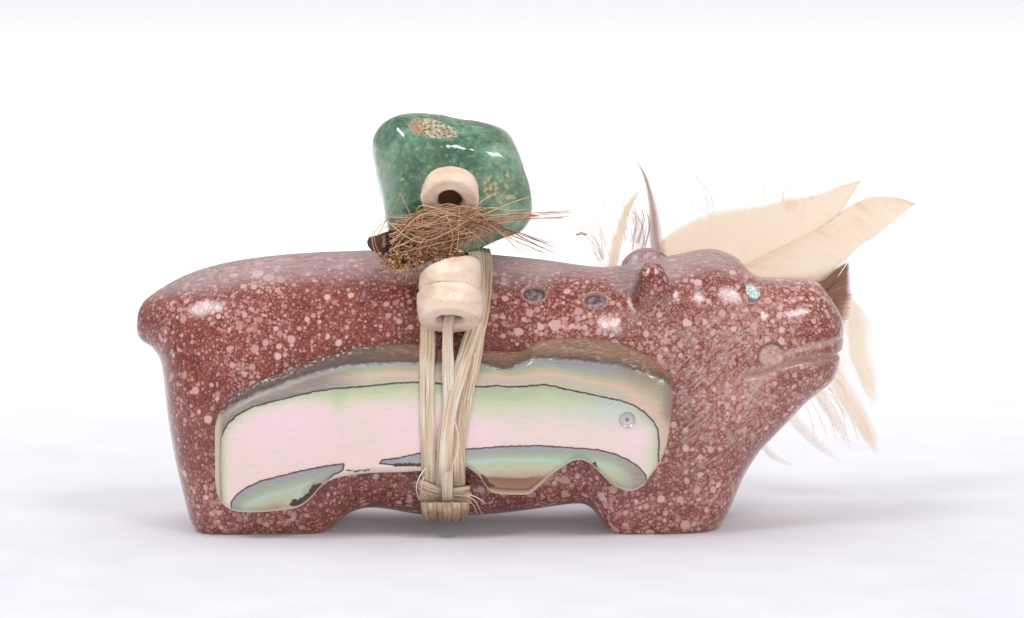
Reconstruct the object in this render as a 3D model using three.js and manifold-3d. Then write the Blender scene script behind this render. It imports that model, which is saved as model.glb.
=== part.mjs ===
// A carved red stone animal that stands on two block feet, with a shell plaque, beads,
// a green nugget, a hair tuft and feathers bound round its middle by sinew.
// Millimetres, +Z up. The snout points along +X, the plaque is on the -Y side.
// While the parts are made, x runs from the tail tip; the last lines centre the whole.
import * as THREE from "three";
import { mergeVertices } from "three/addons/utils/BufferGeometryUtils.js";
import Module from "manifold-3d";

const wasm = await Module();
wasm.setup();

// Main sizes of the stone animal. Every table below is written for the measured sizes, and
// the last lines stretch the whole object from those to these.
const ANIMAL_LENGTH = 70.8;
const ANIMAL_WIDTH = 19.6;
const ANIMAL_HEIGHT = 27.5;
const MEASURED_LENGTH = 70.8;
const MEASURED_WIDTH = 19.6;
const MEASURED_HEIGHT = 27.5;

// Clearances
const TOUCH_GAP = 0.3; // between pieces that rest against each other
const INLAY_GAP = 0.1; // round an eye in its socket

// Stone animal: one row is one ring of the body, from tail to nose.
// Top x, top z, bottom x, bottom z, half width, share of height that is widest,
// roundness of the upper half, roundness of the lower half (2 is round, 6 is boxy).
const BODY_RINGS = [
  [0.05, 20.7, 0.02, 19.7, 0.9, 0.5, 2.0, 2.0],
  [0.3, 21.6, 0.12, 18.9, 1.9, 0.5, 2.0, 2.0],
  [0.9, 22.45, 0.5, 18.35, 2.8, 0.5, 2.0, 2.0],
  [1.8, 23.15, 1.1, 18.0, 3.7, 0.5, 2.0, 2.0],
  [3.0, 23.9, 1.8, 17.45, 4.7, 0.5, 2.0, 2.1],
  [4.4, 24.65, 2.4, 16.5, 5.6, 0.5, 2.1, 2.2],
  [6.0, 25.3, 2.75, 14.6, 6.5, 0.5, 2.1, 2.3],
  [8.0, 25.9, 3.05, 11.8, 7.5, 0.5, 2.1, 2.5],
  [10.2, 26.35, 3.45, 9.0, 8.2, 0.48, 2.2, 2.7],
  [12.6, 26.7, 3.95, 6.4, 8.8, 0.46, 2.2, 3.0],
  [15.0, 26.95, 4.6, 3.8, 9.2, 0.45, 2.2, 3.4],
  [17.0, 27.1, 5.2, 1.6, 9.4, 0.45, 2.2, 4.0],
  [18.6, 27.2, 5.8, 0.2, 9.6, 0.46, 2.2, 4.8],
  [20.0, 27.25, 6.9, -0.9, 9.7, 0.47, 2.2, 5.6],
  [21.5, 27.3, 9.8, -1.0, 9.75, 0.48, 2.2, 6.0],
  [23.0, 27.35, 13.2, -1.0, 9.7, 0.48, 2.2, 6.0],
  [24.5, 27.4, 16.2, -1.0, 9.6, 0.48, 2.2, 5.6],
  [25.8, 27.4, 18.3, -0.9, 9.5, 0.48, 2.2, 5.0],
  [27.0, 27.4, 19.5, -0.2, 9.45, 0.48, 2.2, 4.4],
  [28.0, 27.4, 20.6, 0.8, 9.4, 0.47, 2.2, 3.8],
  [29.0, 27.4, 21.7, 1.5, 9.35, 0.46, 2.2, 3.4],
  [30.0, 27.35, 23.4, 1.8, 9.3, 0.46, 2.2, 3.2],
  [31.0, 27.3, 25.5, 1.6, 9.3, 0.46, 2.2, 3.2],
  [32.3, 27.2, 28.0, 1.15, 9.25, 0.46, 2.2, 3.2],
  [34.0, 27.1, 31.5, 0.95, 9.25, 0.46, 2.2, 3.2],
  [36.5, 26.85, 35.5, 1.15, 9.3, 0.46, 2.2, 3.2],
  [39.0, 26.6, 39.3, 1.6, 9.4, 0.46, 2.2, 3.2],
  [41.5, 26.3, 42.4, 2.1, 9.55, 0.46, 2.2, 3.3],
  [43.8, 25.95, 44.7, 2.3, 9.7, 0.46, 2.2, 3.6],
  [45.6, 25.75, 45.9, 1.5, 9.8, 0.47, 2.2, 4.2],
  [47.0, 25.7, 46.7, 0.4, 9.75, 0.48, 2.2, 5.0],
  [48.2, 25.8, 47.6, -0.6, 9.6, 0.48, 2.3, 5.6],
  [49.4, 26.0, 49.0, -1.0, 9.45, 0.48, 2.3, 6.0],
  [50.6, 26.2, 51.0, -1.0, 9.4, 0.48, 2.4, 6.0],
  [51.8, 26.45, 53.2, -1.0, 9.3, 0.48, 2.4, 6.0],
  [53.3, 26.75, 55.4, -1.0, 9.1, 0.48, 2.5, 5.4],
  [54.8, 27.1, 57.2, -0.7, 8.8, 0.48, 2.5, 4.6],
  [56.2, 27.4, 58.4, 0.2, 8.5, 0.47, 2.6, 3.8],
  [57.6, 27.5, 59.3, 1.6, 8.3, 0.46, 2.6, 3.2],
  [58.8, 27.2, 60.1, 3.4, 8.1, 0.45, 2.6, 2.8],
  [59.8, 26.75, 60.9, 5.1, 7.9, 0.45, 2.6, 2.6],
  [60.7, 26.0, 62.2, 7.1, 7.6, 0.46, 2.6, 2.4],
  [61.4, 25.15, 63.7, 8.7, 7.3, 0.48, 2.6, 2.3],
  [62.4, 24.7, 65.3, 10.35, 7.0, 0.5, 2.6, 2.3],
  [63.9, 24.6, 67.0, 12.2, 6.6, 0.52, 2.6, 2.4],
  [65.6, 24.6, 68.5, 13.4, 6.1, 0.52, 2.6, 2.5],
  [67.1, 24.5, 69.5, 14.3, 5.5, 0.52, 2.6, 2.6],
  [68.2, 24.1, 70.0, 15.3, 4.8, 0.52, 2.5, 2.6],
  [69.1, 23.1, 70.3, 16.5, 4.0, 0.5, 2.4, 2.5],
  [69.9, 21.8, 70.6, 17.7, 2.9, 0.5, 2.2, 2.3],
  [70.45, 20.8, 70.72, 18.7, 1.7, 0.5, 2.0, 2.0],
];
const BODY_TAIL_TIP = [0, 20.2];
const BODY_NOSE_TIP = [70.8, 19.7];
const BODY_POINTS_ROUND = 34;

const EAR_CENTRE = [51.0, 6.7, 22.9];
const EAR_HALF_SIZE = [2.1, 1.7, 4.4];
const EAR_CREASE_X = 48.9;
const EAR_CREASE_Z = 22.5;
const EAR_CREASE_HALF_HEIGHT = 3.5;
const EAR_CREASE_DEPTH = 0.9;

const EYE_DIAMETER = 1.6;
const EYE_DEPTH = 0.9;
const EYE_CENTRE = [61.35, 23.85];
const PIT_DIAMETER = 2.1;
const PIT_DEPTH = 0.5;
const PIT_CENTRES = [
  [39.7, 23.6],
  [45.8, 22.85],
];
const MOUTH_LINE = [
  [60.6, 15.7],
  [62.0, 15.9],
  [64.1, 16.6],
  [66.1, 17.05],
  [69.3, 17.2],
];
const MOUTH_FRONT = [70.4, 17.2];
const MOUTH_DEPTH = 0.6;
const MOUTH_HEIGHT = 0.5;

// Shell plaque: upper and lower edge, left to right.
const PLAQUE_TOP = [
  [8.5, 9.8],
  [9.2, 12.8],
  [11.9, 15.2],
  [16.8, 17.1],
  [20.7, 18.0],
  [26.6, 18.7],
  [31.5, 18.5],
  [36.4, 18.0],
  [39.3, 18.4],
  [40.8, 19.2],
  [43.2, 19.4],
  [47.1, 18.7],
  [50.5, 17.5],
  [52.8, 15.7],
  [53.3, 12.8],
];
const PLAQUE_BOTTOM = [
  [8.5, 4.9],
  [10.1, 2.7],
  [13.0, 2.6],
  [16.8, 3.4],
  [18.6, 5.2],
  [20.7, 6.4],
  [24.4, 6.8],
  [29.0, 7.1],
  [32.5, 6.9],
  [33.9, 5.9],
  [35.2, 4.6],
  [39.3, 4.5],
  [40.8, 5.9],
  [42.7, 7.6],
  [44.2, 7.9],
  [45.9, 6.9],
  [47.3, 5.2],
  [49.3, 4.8],
  [50.6, 5.5],
  [51.6, 7.4],
  [52.8, 9.9],
  [53.3, 11.8],
];
const PLAQUE_FRONT_X = 53.4;
const PLAQUE_RIM_WIDTH = 1.9;
const PLAQUE_THICKNESS = 1.9;
const PLAQUE_MIDDLE = [31, 12];
const PLAQUE_END_BOW = 0.2;
const PLAQUE_TOP_LEAN = 1.3;
const PLAQUE_SEAT = 10.0 + TOUCH_GAP;

// Sinew lashing: the turns are [z, x] lines down the plaque side and the far side.
const SINEW_WIDTH = 1.35;
const SINEW_THICKNESS = 0.42;
const LASHING_X = 31;
const LEFT_TURN = [[0, 29.5], [27, 29.5]];
const MIDDLE_TURN = [[0, 31.0], [7, 30.7], [10.6, 31.1], [14.4, 31.7], [18.3, 33.0],
  [21, 34.0], [27, 34.4]];
const RIGHT_TURN = [[0, 32.2], [9, 32.2], [14.4, 33.0], [17.3, 33.9], [20.3, 34.1],
  [24, 34.9], [27, 35.2]];
const FAR_LEFT_TURN = [[0, 29.8], [27, 31.8]];
const FAR_RIGHT_TURN = [[0, 31.0], [27, 33.0]];
const CINCH_CENTRE = [30.9, 3.4];
const CINCH_HALF_WIDTH = 2.45;
const THREAD_STRAND = [
  [31.45, -10.45, 25.85],
  [31.5, -12.7, 21.75],
  [31.7, -12.55, 17.5],
  [31.5, -12.75, 12.0],
  [31.0, -12.7, 7.4],
  [31.0, -10.8, 4.6],
];

// Green nugget: each facet is [x, y, z, distance from the centre], direction out.
const NUGGET_CENTRE = [31.25, 0.9, 34.0];
const NUGGET_ROUNDNESS = 16;
const NUGGET_FACETS = [
  [0.03, 0.1, 1.0, 7.1],
  [0.27, 0.0, 0.96, 6.9],
  [0.8, -0.1, 0.58, 7.8],
  [0.99, 0.05, 0.12, 7.9],
  [0.87, 0.0, -0.49, 8.7],
  [0.33, 0.0, -0.94, 7.6],
  [0.0, 0.34, -0.94, 4.85],
  [-0.98, 0.0, -0.2, 6.95],
  [-0.85, 0.1, 0.52, 9.0],
  [-0.35, 0.0, 0.94, 8.5],
  [0.0, -1.0, 0.05, 5.3],
  [0.05, -0.62, 0.78, 6.9],
  [-0.75, -0.65, 0.1, 7.2],
  [0.72, -0.68, 0.05, 7.8],
  [0.0, -0.85, -0.53, 5.9],
  [0.1, 1.0, 0.1, 5.3],
  [-0.7, 0.7, 0.1, 7.4],
  [0.7, 0.7, -0.1, 7.5],
  [0.0, 0.65, 0.76, 6.8],
];

// Shell beads
const BEAD_HOLE_RADIUS = 1.15;
const BOTTOM_BEAD = { radius: 3.25, length: 2.9, slant: 0.0 };
const MIDDLE_BEAD = { radius: 3.1, length: 2.6, slant: 0.18 };
const TOP_BEAD = { radius: 2.95, length: 2.4, slant: 0.0 };
const BEAD_STACK_GAP = 0.05;
const STACK_BASE = [31.5, -12.7, 21.75];
const STACK_LEAN = 29;
const TOP_BEAD_FACE = [31.55, -9.5, 33.0];
const TOP_BEAD_LEAN = 45;

// Hair tuft: [x, z, half height] of the packed core from its cut stub, then loose hairs.
const TUFT_Y = -8.7;
const TUFT_FLATNESS = 0.62;
const TUFT_CORE = [
  [23.8, 28.8, 0.9],
  [24.8, 28.8, 1.4],
  [26.7, 28.8, 2.4],
  [28.5, 29.3, 2.2],
  [31.0, 29.5, 1.8],
  [33.0, 30.0, 1.3],
  [34.4, 30.5, 0.8],
];
const HAIR_TIPS = [
  [42.3, 31.9],
  [41.2, 29.0],
  [40.6, 28.3],
  [38.6, 27.9],
  [36.5, 29.2],
];
const HAIR_THICKNESS = 0.2;

// Feathers: quill line, then the upper and lower edge of each vane, as [x, z] points.
const VANE_THICKNESS = 0.35;
const QUILL_RADIUS = 0.38;
const QUILL_Y = PLAQUE_SEAT + QUILL_RADIUS + 0.1;
const FEATHERS = {
  short_cream_feather: {
    layer: 10.75,
    quill: [[29.5, 12.0], [36.0, 14.0], [43.0, 18.0], [46.3, 22.5]],
    vanes: [
      {
        upper: [[45.6, 22.0], [46.6, 25.0], [47.6, 28.5], [49.3, 31.8], [51.3, 33.6]],
        lower: [[46.6, 22.0], [47.7, 25.0], [48.7, 28.5], [50.0, 31.2], [51.5, 33.5]],
      },
    ],
  },
  short_brown_feather: {
    layer: 11.45,
    quill: [[29.5, 10.8], [36.0, 12.9], [46.0, 18.6], [51.5, 21.8]],
    vanes: [
      {
        upper: [[50.9, 21.3], [52.2, 26.1], [51.2, 31.2], [50.1, 36.0]],
        lower: [[52.1, 21.3], [53.3, 26.1], [52.0, 31.2], [50.4, 36.0]],
      },
    ],
  },
  large_cream_feather: {
    layer: 12.15,
    quill: [[29.5, 9.6], [36.0, 11.4], [48.0, 17.4], [61.6, 24.4], [69.3, 28.3]],
    vanes: [
      {
        upper: [[45.0, 16.6], [48.0, 22.0], [53.0, 27.2], [55.8, 29.8], [60.9, 30.9],
          [66.0, 31.3], [70.0, 31.9], [73.3, 33.5]],
        lower: [[45.4, 15.6], [49.4, 17.8], [55.0, 20.8], [58.0, 22.3], [63.0, 24.9],
          [67.0, 27.0], [70.5, 29.6], [73.4, 33.3]],
      },
      {
        upper: [[45.0, 16.2], [51.0, 19.3], [58.0, 22.9], [63.0, 25.5], [67.0, 27.6],
          [70.6, 29.8], [74.0, 31.5], [78.8, 31.1]],
        lower: [[45.6, 15.2], [53.0, 15.6], [60.0, 17.6], [65.0, 19.8], [69.1, 22.4],
          [72.2, 25.1], [75.2, 28.1], [78.9, 30.8]],
      },
    ],
  },
  brown_feather: {
    layer: 12.85,
    quill: [[29.5, 8.4], [36.0, 10.2], [50.0, 15.4], [60.0, 18.4]],
    vanes: [
      {
        upper: [[48.0, 15.2], [54.0, 19.0], [62.0, 22.6], [69.0, 25.0], [72.2, 25.2]],
        lower: [[48.4, 14.2], [54.0, 14.0], [62.0, 16.0], [69.0, 18.6], [72.0, 19.6]],
      },
    ],
  },
  drooping_cream_feather: {
    layer: 13.55,
    quill: [[29.5, 7.2], [36.0, 8.8], [50.0, 12.6], [60.0, 13.6], [68.0, 13.0]],
    vanes: [
      {
        upper: [[50.0, 13.0], [58.0, 16.6], [66.0, 18.8], [71.8, 19.2], [74.2, 14.5],
          [75.2, 9.2]],
        lower: [[50.2, 12.0], [56.0, 8.6], [62.0, 5.2], [67.0, 3.9], [72.2, 5.4],
          [75.0, 8.6]],
      },
    ],
  },
};

const material = (colour, roughness) =>
  new THREE.MeshStandardMaterial({ color: colour, roughness, metalness: 0 });
const redStone = material("#8a3f35", 0.22);
const abalone = material("#d9c7cc", 0.2);
const sinew = material("#cdb594", 0.6);
const creamShell = material("#e8cfb6", 0.4);
const greenStone = material("#2f7c60", 0.2);
const inlayStone = material("#7fb9a4", 0.35);
const driedHair = material("#6a4a38", 0.9);
const creamFeather = material("#ecd9bd", 0.85);
const brownFeather = material("#66564a", 0.85);

const group = new THREE.Group();

function addPart(name, geometry, look) {
  const mesh = new THREE.Mesh(geometry, look);
  mesh.name = name;
  group.add(mesh);
}

// Joining and cutting closed shapes.
function toSolid(geometry) {
  const bare = new THREE.BufferGeometry();
  bare.setAttribute("position", geometry.getAttribute("position"));
  bare.setIndex(geometry.getIndex());
  const merged = mergeVertices(bare, 1e-3);
  const mesh = new wasm.Mesh({
    numProp: 3,
    vertProperties: new Float32Array(merged.getAttribute("position").array),
    triVerts: new Uint32Array(merged.getIndex().array),
  });
  return new wasm.Manifold(mesh);
}

function toGeometry(solid) {
  const mesh = solid.getMesh();
  const geometry = new THREE.BufferGeometry();
  geometry.setAttribute("position", new THREE.BufferAttribute(mesh.vertProperties, 3));
  geometry.setIndex(new THREE.BufferAttribute(mesh.triVerts, 1));
  geometry.computeVertexNormals();
  return geometry;
}

// A closed skin over rings of equal length, with a fan at each end point.
// With no end points the last ring joins the first.
function skin(rings, startPoint, endPoint) {
  const round = rings[0].length;
  const points = rings.flat();
  const faces = [];
  const closed = startPoint === undefined;
  const bands = closed ? rings.length : rings.length - 1;
  for (let i = 0; i < bands; i += 1) {
    const a = i * round;
    const b = ((i + 1) % rings.length) * round;
    for (let j = 0; j < round; j += 1) {
      const k = (j + 1) % round;
      faces.push(a + j, b + k, b + j, a + j, a + k, b + k);
    }
  }
  if (!closed) {
    const first = points.length;
    points.push(startPoint, endPoint);
    const last = (rings.length - 1) * round;
    for (let j = 0; j < round; j += 1) {
      const k = (j + 1) % round;
      faces.push(first, k, j, first + 1, last + j, last + k);
    }
  }
  const geometry = new THREE.BufferGeometry().setFromPoints(points);
  geometry.setIndex(faces);
  return geometry;
}

// Reads a list of [position, value] rows, with straight runs between them.
function along(rows, position) {
  if (position <= rows[0][0]) return rows[0][1];
  for (let i = 1; i < rows.length; i += 1) {
    const [x0, v0] = rows[i - 1];
    const [x1, v1] = rows[i];
    if (position <= x1) return v0 + ((v1 - v0) * (position - x0)) / (x1 - x0);
  }
  return rows[rows.length - 1][1];
}

// A filed crease runs down the neck behind each ear.
function carveCrease(point) {
  const behind = point.x - EAR_CREASE_X;
  const level = (point.z - EAR_CREASE_Z) / EAR_CREASE_HALF_HEIGHT;
  const inward = EAR_CREASE_DEPTH * Math.exp(-behind * behind - level * level);
  point.y -= Math.sign(point.y) * inward;
}

function ringPoint(ring, angle) {
  const [topX, topZ, bottomX, bottomZ, halfWidth, widest, upper, lower] = ring;
  const power = Math.cos(angle) >= 0 ? upper : lower;
  const rise = Math.pow(Math.abs(Math.cos(angle)), 2 / power);
  const reach = Math.sign(Math.sin(angle)) * Math.pow(Math.abs(Math.sin(angle)), 2 / power);
  const share = Math.cos(angle) >= 0 ? widest + (1 - widest) * rise : widest - widest * rise;
  const x = bottomX + (topX - bottomX) * share;
  const z = bottomZ + (topZ - bottomZ) * share;
  return new THREE.Vector3(x, -halfWidth * reach, z);
}

// Half width of the animal where its side passes a given x and z.
function sideAt(x, z) {
  const leanX = (ring) => ring[0] + ((ring[2] - ring[0]) * (ring[1] - z)) / (ring[1] - ring[3]);
  let i = 1;
  while (i < BODY_RINGS.length - 1 && leanX(BODY_RINGS[i]) < x) i += 1;
  const before = leanX(BODY_RINGS[i - 1]);
  const t = (x - before) / (leanX(BODY_RINGS[i]) - before);
  const ring = BODY_RINGS[i].map((v, k) => BODY_RINGS[i - 1][k] * (1 - t) + v * t);
  const [, topZ, , bottomZ, halfWidth, widest, upper, lower] = ring;
  const share = (z - bottomZ) / (topZ - bottomZ);
  const off = share > widest ? (share - widest) / (1 - widest) : (widest - share) / widest;
  const power = share > widest ? upper : lower;
  return halfWidth * Math.pow(Math.max(0, 1 - Math.pow(off, power)), 1 / power);
}

// Where the side of the animal lies at x and z, and the way it faces. Side is -1 or 1.
function onSide(x, z, side) {
  const step = 0.2;
  const y = sideAt(x, z);
  const facing = new THREE.Vector3(
    (sideAt(x - step, z) - sideAt(x + step, z)) / (2 * step),
    side,
    (sideAt(x, z - step) - sideAt(x, z + step)) / (2 * step),
  );
  return { point: new THREE.Vector3(x, side * y, z), facing: facing.normalize() };
}

// A short round bar whose middle is at a point and whose axis follows a direction.
function bar(radius, length, point, direction, sides) {
  const geometry = new THREE.CylinderGeometry(radius, radius, length, sides);
  const turn = new THREE.Quaternion();
  turn.setFromUnitVectors(new THREE.Vector3(0, 1, 0), direction);
  geometry.applyQuaternion(turn);
  geometry.translate(point.x, point.y, point.z);
  return geometry;
}

// Sweeps a flat section along a path. Each section point is [across, outward].
function sweep(path, outward, section, closed) {
  const rings = path.map((point, i) => {
    const last = path.length - 1;
    const next = path[closed ? (i + 1) % path.length : Math.min(i + 1, last)];
    const before = path[closed ? (i + last) % path.length : Math.max(i - 1, 0)];
    const ahead = next.clone().sub(before).normalize();
    const out = outward[i].clone().addScaledVector(ahead, -outward[i].dot(ahead)).normalize();
    const across = new THREE.Vector3().crossVectors(out, ahead);
    return section.map(([a, b]) =>
      point.clone().addScaledVector(across, a).addScaledVector(out, b),
    );
  });
  if (closed) return skin(rings);
  return skin(rings, path[0], path[path.length - 1]);
}

function box2(width, low, high) {
  return [
    [-width / 2, low],
    [width / 2, low],
    [width / 2, high],
    [-width / 2, high],
  ];
}

function mouthCutter() {
  const near = MOUTH_LINE.map(([x, z]) => onSide(x, z, -1));
  const far = MOUTH_LINE.map(([x, z]) => onSide(x, z, 1)).reverse();
  const front = new THREE.Vector3(MOUTH_FRONT[0], 0, MOUTH_FRONT[1]);
  const nose = { point: front, facing: new THREE.Vector3(1, 0, 0) };
  const stops = [...near, nose, ...far];
  const path = stops.map((stop) => stop.point);
  const outward = stops.map((stop) => stop.facing);
  return sweep(path, outward, box2(MOUTH_HEIGHT, -MOUTH_DEPTH, 1), false);
}

function makeEar(side) {
  const geometry = new THREE.SphereGeometry(1, 10, 8);
  geometry.scale(...EAR_HALF_SIZE);
  geometry.rotateX(0.12 * side);
  geometry.translate(EAR_CENTRE[0], side * EAR_CENTRE[1], EAR_CENTRE[2]);
  return toSolid(geometry);
}

function makeAnimal() {
  const rings = BODY_RINGS.map((ring) => {
    const points = [];
    for (let j = 0; j < BODY_POINTS_ROUND; j += 1) {
      const point = ringPoint(ring, (2 * Math.PI * j) / BODY_POINTS_ROUND);
      carveCrease(point);
      point.z = Math.max(0, point.z);
      points.push(point);
    }
    return points;
  });
  const tail = new THREE.Vector3(BODY_TAIL_TIP[0], 0, BODY_TAIL_TIP[1]);
  const nose = new THREE.Vector3(BODY_NOSE_TIP[0], 0, BODY_NOSE_TIP[1]);
  let solid = toSolid(skin(rings, tail, nose)).add(makeEar(-1)).add(makeEar(1));
  for (const side of [-1, 1]) {
    const { point, facing } = onSide(EYE_CENTRE[0], EYE_CENTRE[1], side);
    const radius = EYE_DIAMETER / 2 + INLAY_GAP;
    const depth = 2 * (EYE_DEPTH + INLAY_GAP);
    solid = solid.subtract(toSolid(bar(radius, depth, point, facing, 16)));
  }
  for (const [x, z] of PIT_CENTRES) {
    const { point, facing } = onSide(x, z, -1);
    solid = solid.subtract(toSolid(bar(PIT_DIAMETER / 2, 2 * PIT_DEPTH, point, facing, 16)));
  }
  solid = solid.subtract(toSolid(mouthCutter()));
  return toGeometry(solid);
}

function makeEye(side) {
  const { point, facing } = onSide(EYE_CENTRE[0], EYE_CENTRE[1], side);
  point.addScaledVector(facing, -EYE_DEPTH / 2 + 0.1);
  return bar(EYE_DIAMETER / 2, EYE_DEPTH, point, facing, 16);
}

addPart("stone_animal", makeAnimal(), redStone);
addPart("near_eye", makeEye(-1), inlayStone);
addPart("far_eye", makeEye(1), inlayStone);

// Shell plaque: a domed plate with a bevelled upper rim.
function plaqueBack(x, z) {
  const u = (x - PLAQUE_MIDDLE[0]) / 23;
  const v = Math.max(0, z - PLAQUE_MIDDLE[1]) / 8;
  return -PLAQUE_SEAT + PLAQUE_END_BOW * u * u + PLAQUE_TOP_LEAN * v * v;
}

function plaqueFront(x, z) {
  const top = along(PLAQUE_TOP, x);
  const bottom = along(PLAQUE_BOTTOM, x);
  const rim = Math.min(1, Math.max(0, (top - z) / PLAQUE_RIM_WIDTH));
  const foot = Math.min(1, Math.max(0, (z - bottom) / 1.2));
  const end = Math.min(1, Math.max(0, (PLAQUE_FRONT_X - x) / 1.6));
  const thick = PLAQUE_THICKNESS * (0.45 + 0.55 * Math.min(rim, end)) * (0.7 + 0.3 * foot);
  return plaqueBack(x, z) - thick;
}

function makePlaque() {
  const edges = [...PLAQUE_TOP, ...PLAQUE_BOTTOM].map(([x]) => x).sort((a, b) => a - b);
  const columns = edges.filter((x, i) => i === 0 || x - edges[i - 1] > 0.35);
  const shares = [0, 0.08, 0.3, 0.55, 0.8, 0.9, 1];
  const rings = columns.map((x) => {
    const top = along(PLAQUE_TOP, x);
    const bottom = along(PLAQUE_BOTTOM, x);
    const heights = shares.map((share) => bottom + (top - bottom) * share);
    const front = heights.map((z) => new THREE.Vector3(x, plaqueFront(x, z), z));
    const back = heights.map((z) => new THREE.Vector3(x, plaqueBack(x, z), z));
    return [...front.reverse(), ...back];
  });
  const middle = (ring) => ring[3].clone().add(ring[ring.length - 4]).multiplyScalar(0.5);
  return skin(rings, middle(rings[0]), middle(rings[rings.length - 1]));
}

addPart("shell_plaque", makePlaque(), abalone);

// Sinew: flat strands drawn round the hull of the animal and the plaque.
function hull(points) {
  const sorted = [...points].sort((a, b) => a[0] - b[0] || a[1] - b[1]);
  const turn = (o, a, b) => (a[0] - o[0]) * (b[1] - o[1]) - (a[1] - o[1]) * (b[0] - o[0]);
  const half = (list) => {
    const kept = [];
    for (const p of list) {
      while (kept.length > 1 && turn(kept.at(-2), kept.at(-1), p) <= 0) kept.pop();
      kept.push(p);
    }
    return kept.slice(0, -1);
  };
  return [...half(sorted), ...half(sorted.reverse())];
}

function lashingHull() {
  const points = [];
  for (let i = 0; i <= 14; i += 1) {
    const z = 14.15 - 13.2 * Math.cos((Math.PI * i) / 14);
    const half = sideAt(LASHING_X, z) + 0.1;
    points.push([-half, z], [half, z]);
  }
  const top = along(PLAQUE_TOP, LASHING_X);
  const bottom = along(PLAQUE_BOTTOM, LASHING_X);
  for (const z of [bottom, bottom + 1.2, top - 3, top - 1.9, top]) {
    points.push([plaqueFront(LASHING_X, z), z]);
  }
  for (const z of [7.0, 12.2]) points.push([QUILL_Y + QUILL_RADIUS, z]);
  return hull(points).map(([y, z]) => new THREE.Vector2(y, z));
}

// The hull pushed out by a distance: down the plaque side, under the belly,
// up the far side and over the back.
function loopPath(distance) {
  const corners = lashingHull();
  const count = corners.length;
  const normals = corners.map((corner, i) => {
    const edge = corners[(i + 1) % count].clone().sub(corner);
    return new THREE.Vector2(edge.y, -edge.x).normalize();
  });
  const outward = corners.map((corner, i) =>
    normals[i].clone().add(normals[(i + count - 1) % count]).normalize(),
  );
  const points = corners.map((corner, i) => {
    const reach = distance / outward[i].dot(normals[i]);
    return corner.clone().addScaledVector(outward[i], reach);
  });
  return { points, outward };
}

// How far out the lashing runs on the plaque side at a height.
function nearSideAt(z) {
  const { points } = loopPath(TOUCH_GAP + SINEW_THICKNESS / 2);
  const rows = points.filter((p) => p.x < -5).map((p) => [p.y, p.x]);
  return along(rows.sort((p, q) => p[0] - q[0]), z);
}

// One turn of sinew. Near and far list [z, x] knots down each side.
function sinewTurn(near, far, lift) {
  const distance = TOUCH_GAP + SINEW_THICKNESS / 2 + lift;
  const { points, outward } = loopPath(distance);
  const path = points.map((p) => {
    const share = Math.min(1, Math.max(0, 0.5 - p.x / 12));
    const x = along(near, p.y) * share + along(far, p.y) * (1 - share);
    return new THREE.Vector3(x, p.x, p.y);
  });
  const out = outward.map((n) => new THREE.Vector3(0, n.x, n.y));
  return toSolid(sweep(path, out, box2(SINEW_WIDTH, -0.21, 0.21), true));
}

function roundSection(radius, sides) {
  const points = [];
  for (let i = 0; i < sides; i += 1) {
    const angle = (2 * Math.PI * i) / sides;
    points.push([radius * Math.cos(angle), radius * Math.sin(angle)]);
  }
  return points;
}

// Thread pulled tight round the strands below the plaque.
function makeCinch() {
  const y = nearSideAt(CINCH_CENTRE[1]);
  const path = [];
  const out = [];
  for (let i = 0; i < 16; i += 1) {
    const angle = (2 * Math.PI * i) / 16;
    const across = new THREE.Vector3(Math.cos(angle), Math.sin(angle), 0);
    const x = CINCH_CENTRE[0] + CINCH_HALF_WIDTH * across.x;
    const z = CINCH_CENTRE[1] - 0.35 * across.x + 0.3 * across.y;
    path.push(new THREE.Vector3(x, y - 0.3 + 0.3 * across.y, z));
    out.push(across);
  }
  return toSolid(sweep(path, out, box2(1.8, -0.12, 0.25), true));
}

function makeThreadStrand() {
  const path = THREAD_STRAND.map((p) => new THREE.Vector3(...p));
  const out = path.map(() => new THREE.Vector3(0, -1, 0.2));
  return toSolid(sweep(path, out, box2(1.05, -0.2, 0.2), false));
}

function makeLashing() {
  const left = sinewTurn(LEFT_TURN, FAR_LEFT_TURN, 0);
  const middle = sinewTurn(MIDDLE_TURN, FAR_RIGHT_TURN, 0.02);
  const right = sinewTurn(RIGHT_TURN, FAR_RIGHT_TURN, 0.04);
  return toGeometry(left.add(middle).add(right).add(makeThreadStrand()).add(makeCinch()));
}

addPart("sinew_lashing", makeLashing(), sinew);

// A drilled shell bead with rounded rims, made along Z from its lower face at 0.
// Its upper face is cut on a slant, higher toward the snout.
function makeBead({ radius, length, slant }, base, lean, offset) {
  const rim = 0.45;
  const profile = [
    [BEAD_HOLE_RADIUS, 0],
    [radius - rim, 0],
    [radius - 0.13, 0.13],
    [radius, rim],
    [radius, length - rim],
    [radius - 0.13, length - 0.13],
    [radius - rim, length],
    [BEAD_HOLE_RADIUS, length],
    [BEAD_HOLE_RADIUS, 0],
  ].map(([r, z]) => new THREE.Vector2(r, z));
  const geometry = new THREE.LatheGeometry(profile, 20);
  geometry.rotateX(Math.PI / 2);
  const position = geometry.getAttribute("position");
  for (let i = 0; i < position.count; i += 1) {
    const lift = (slant * position.getX(i) * position.getZ(i)) / length;
    position.setZ(i, position.getZ(i) + lift);
  }
  geometry.translate(0, 0, offset);
  geometry.rotateX(THREE.MathUtils.degToRad(-lean));
  geometry.translate(...base);
  return toGeometry(toSolid(geometry));
}

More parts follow.
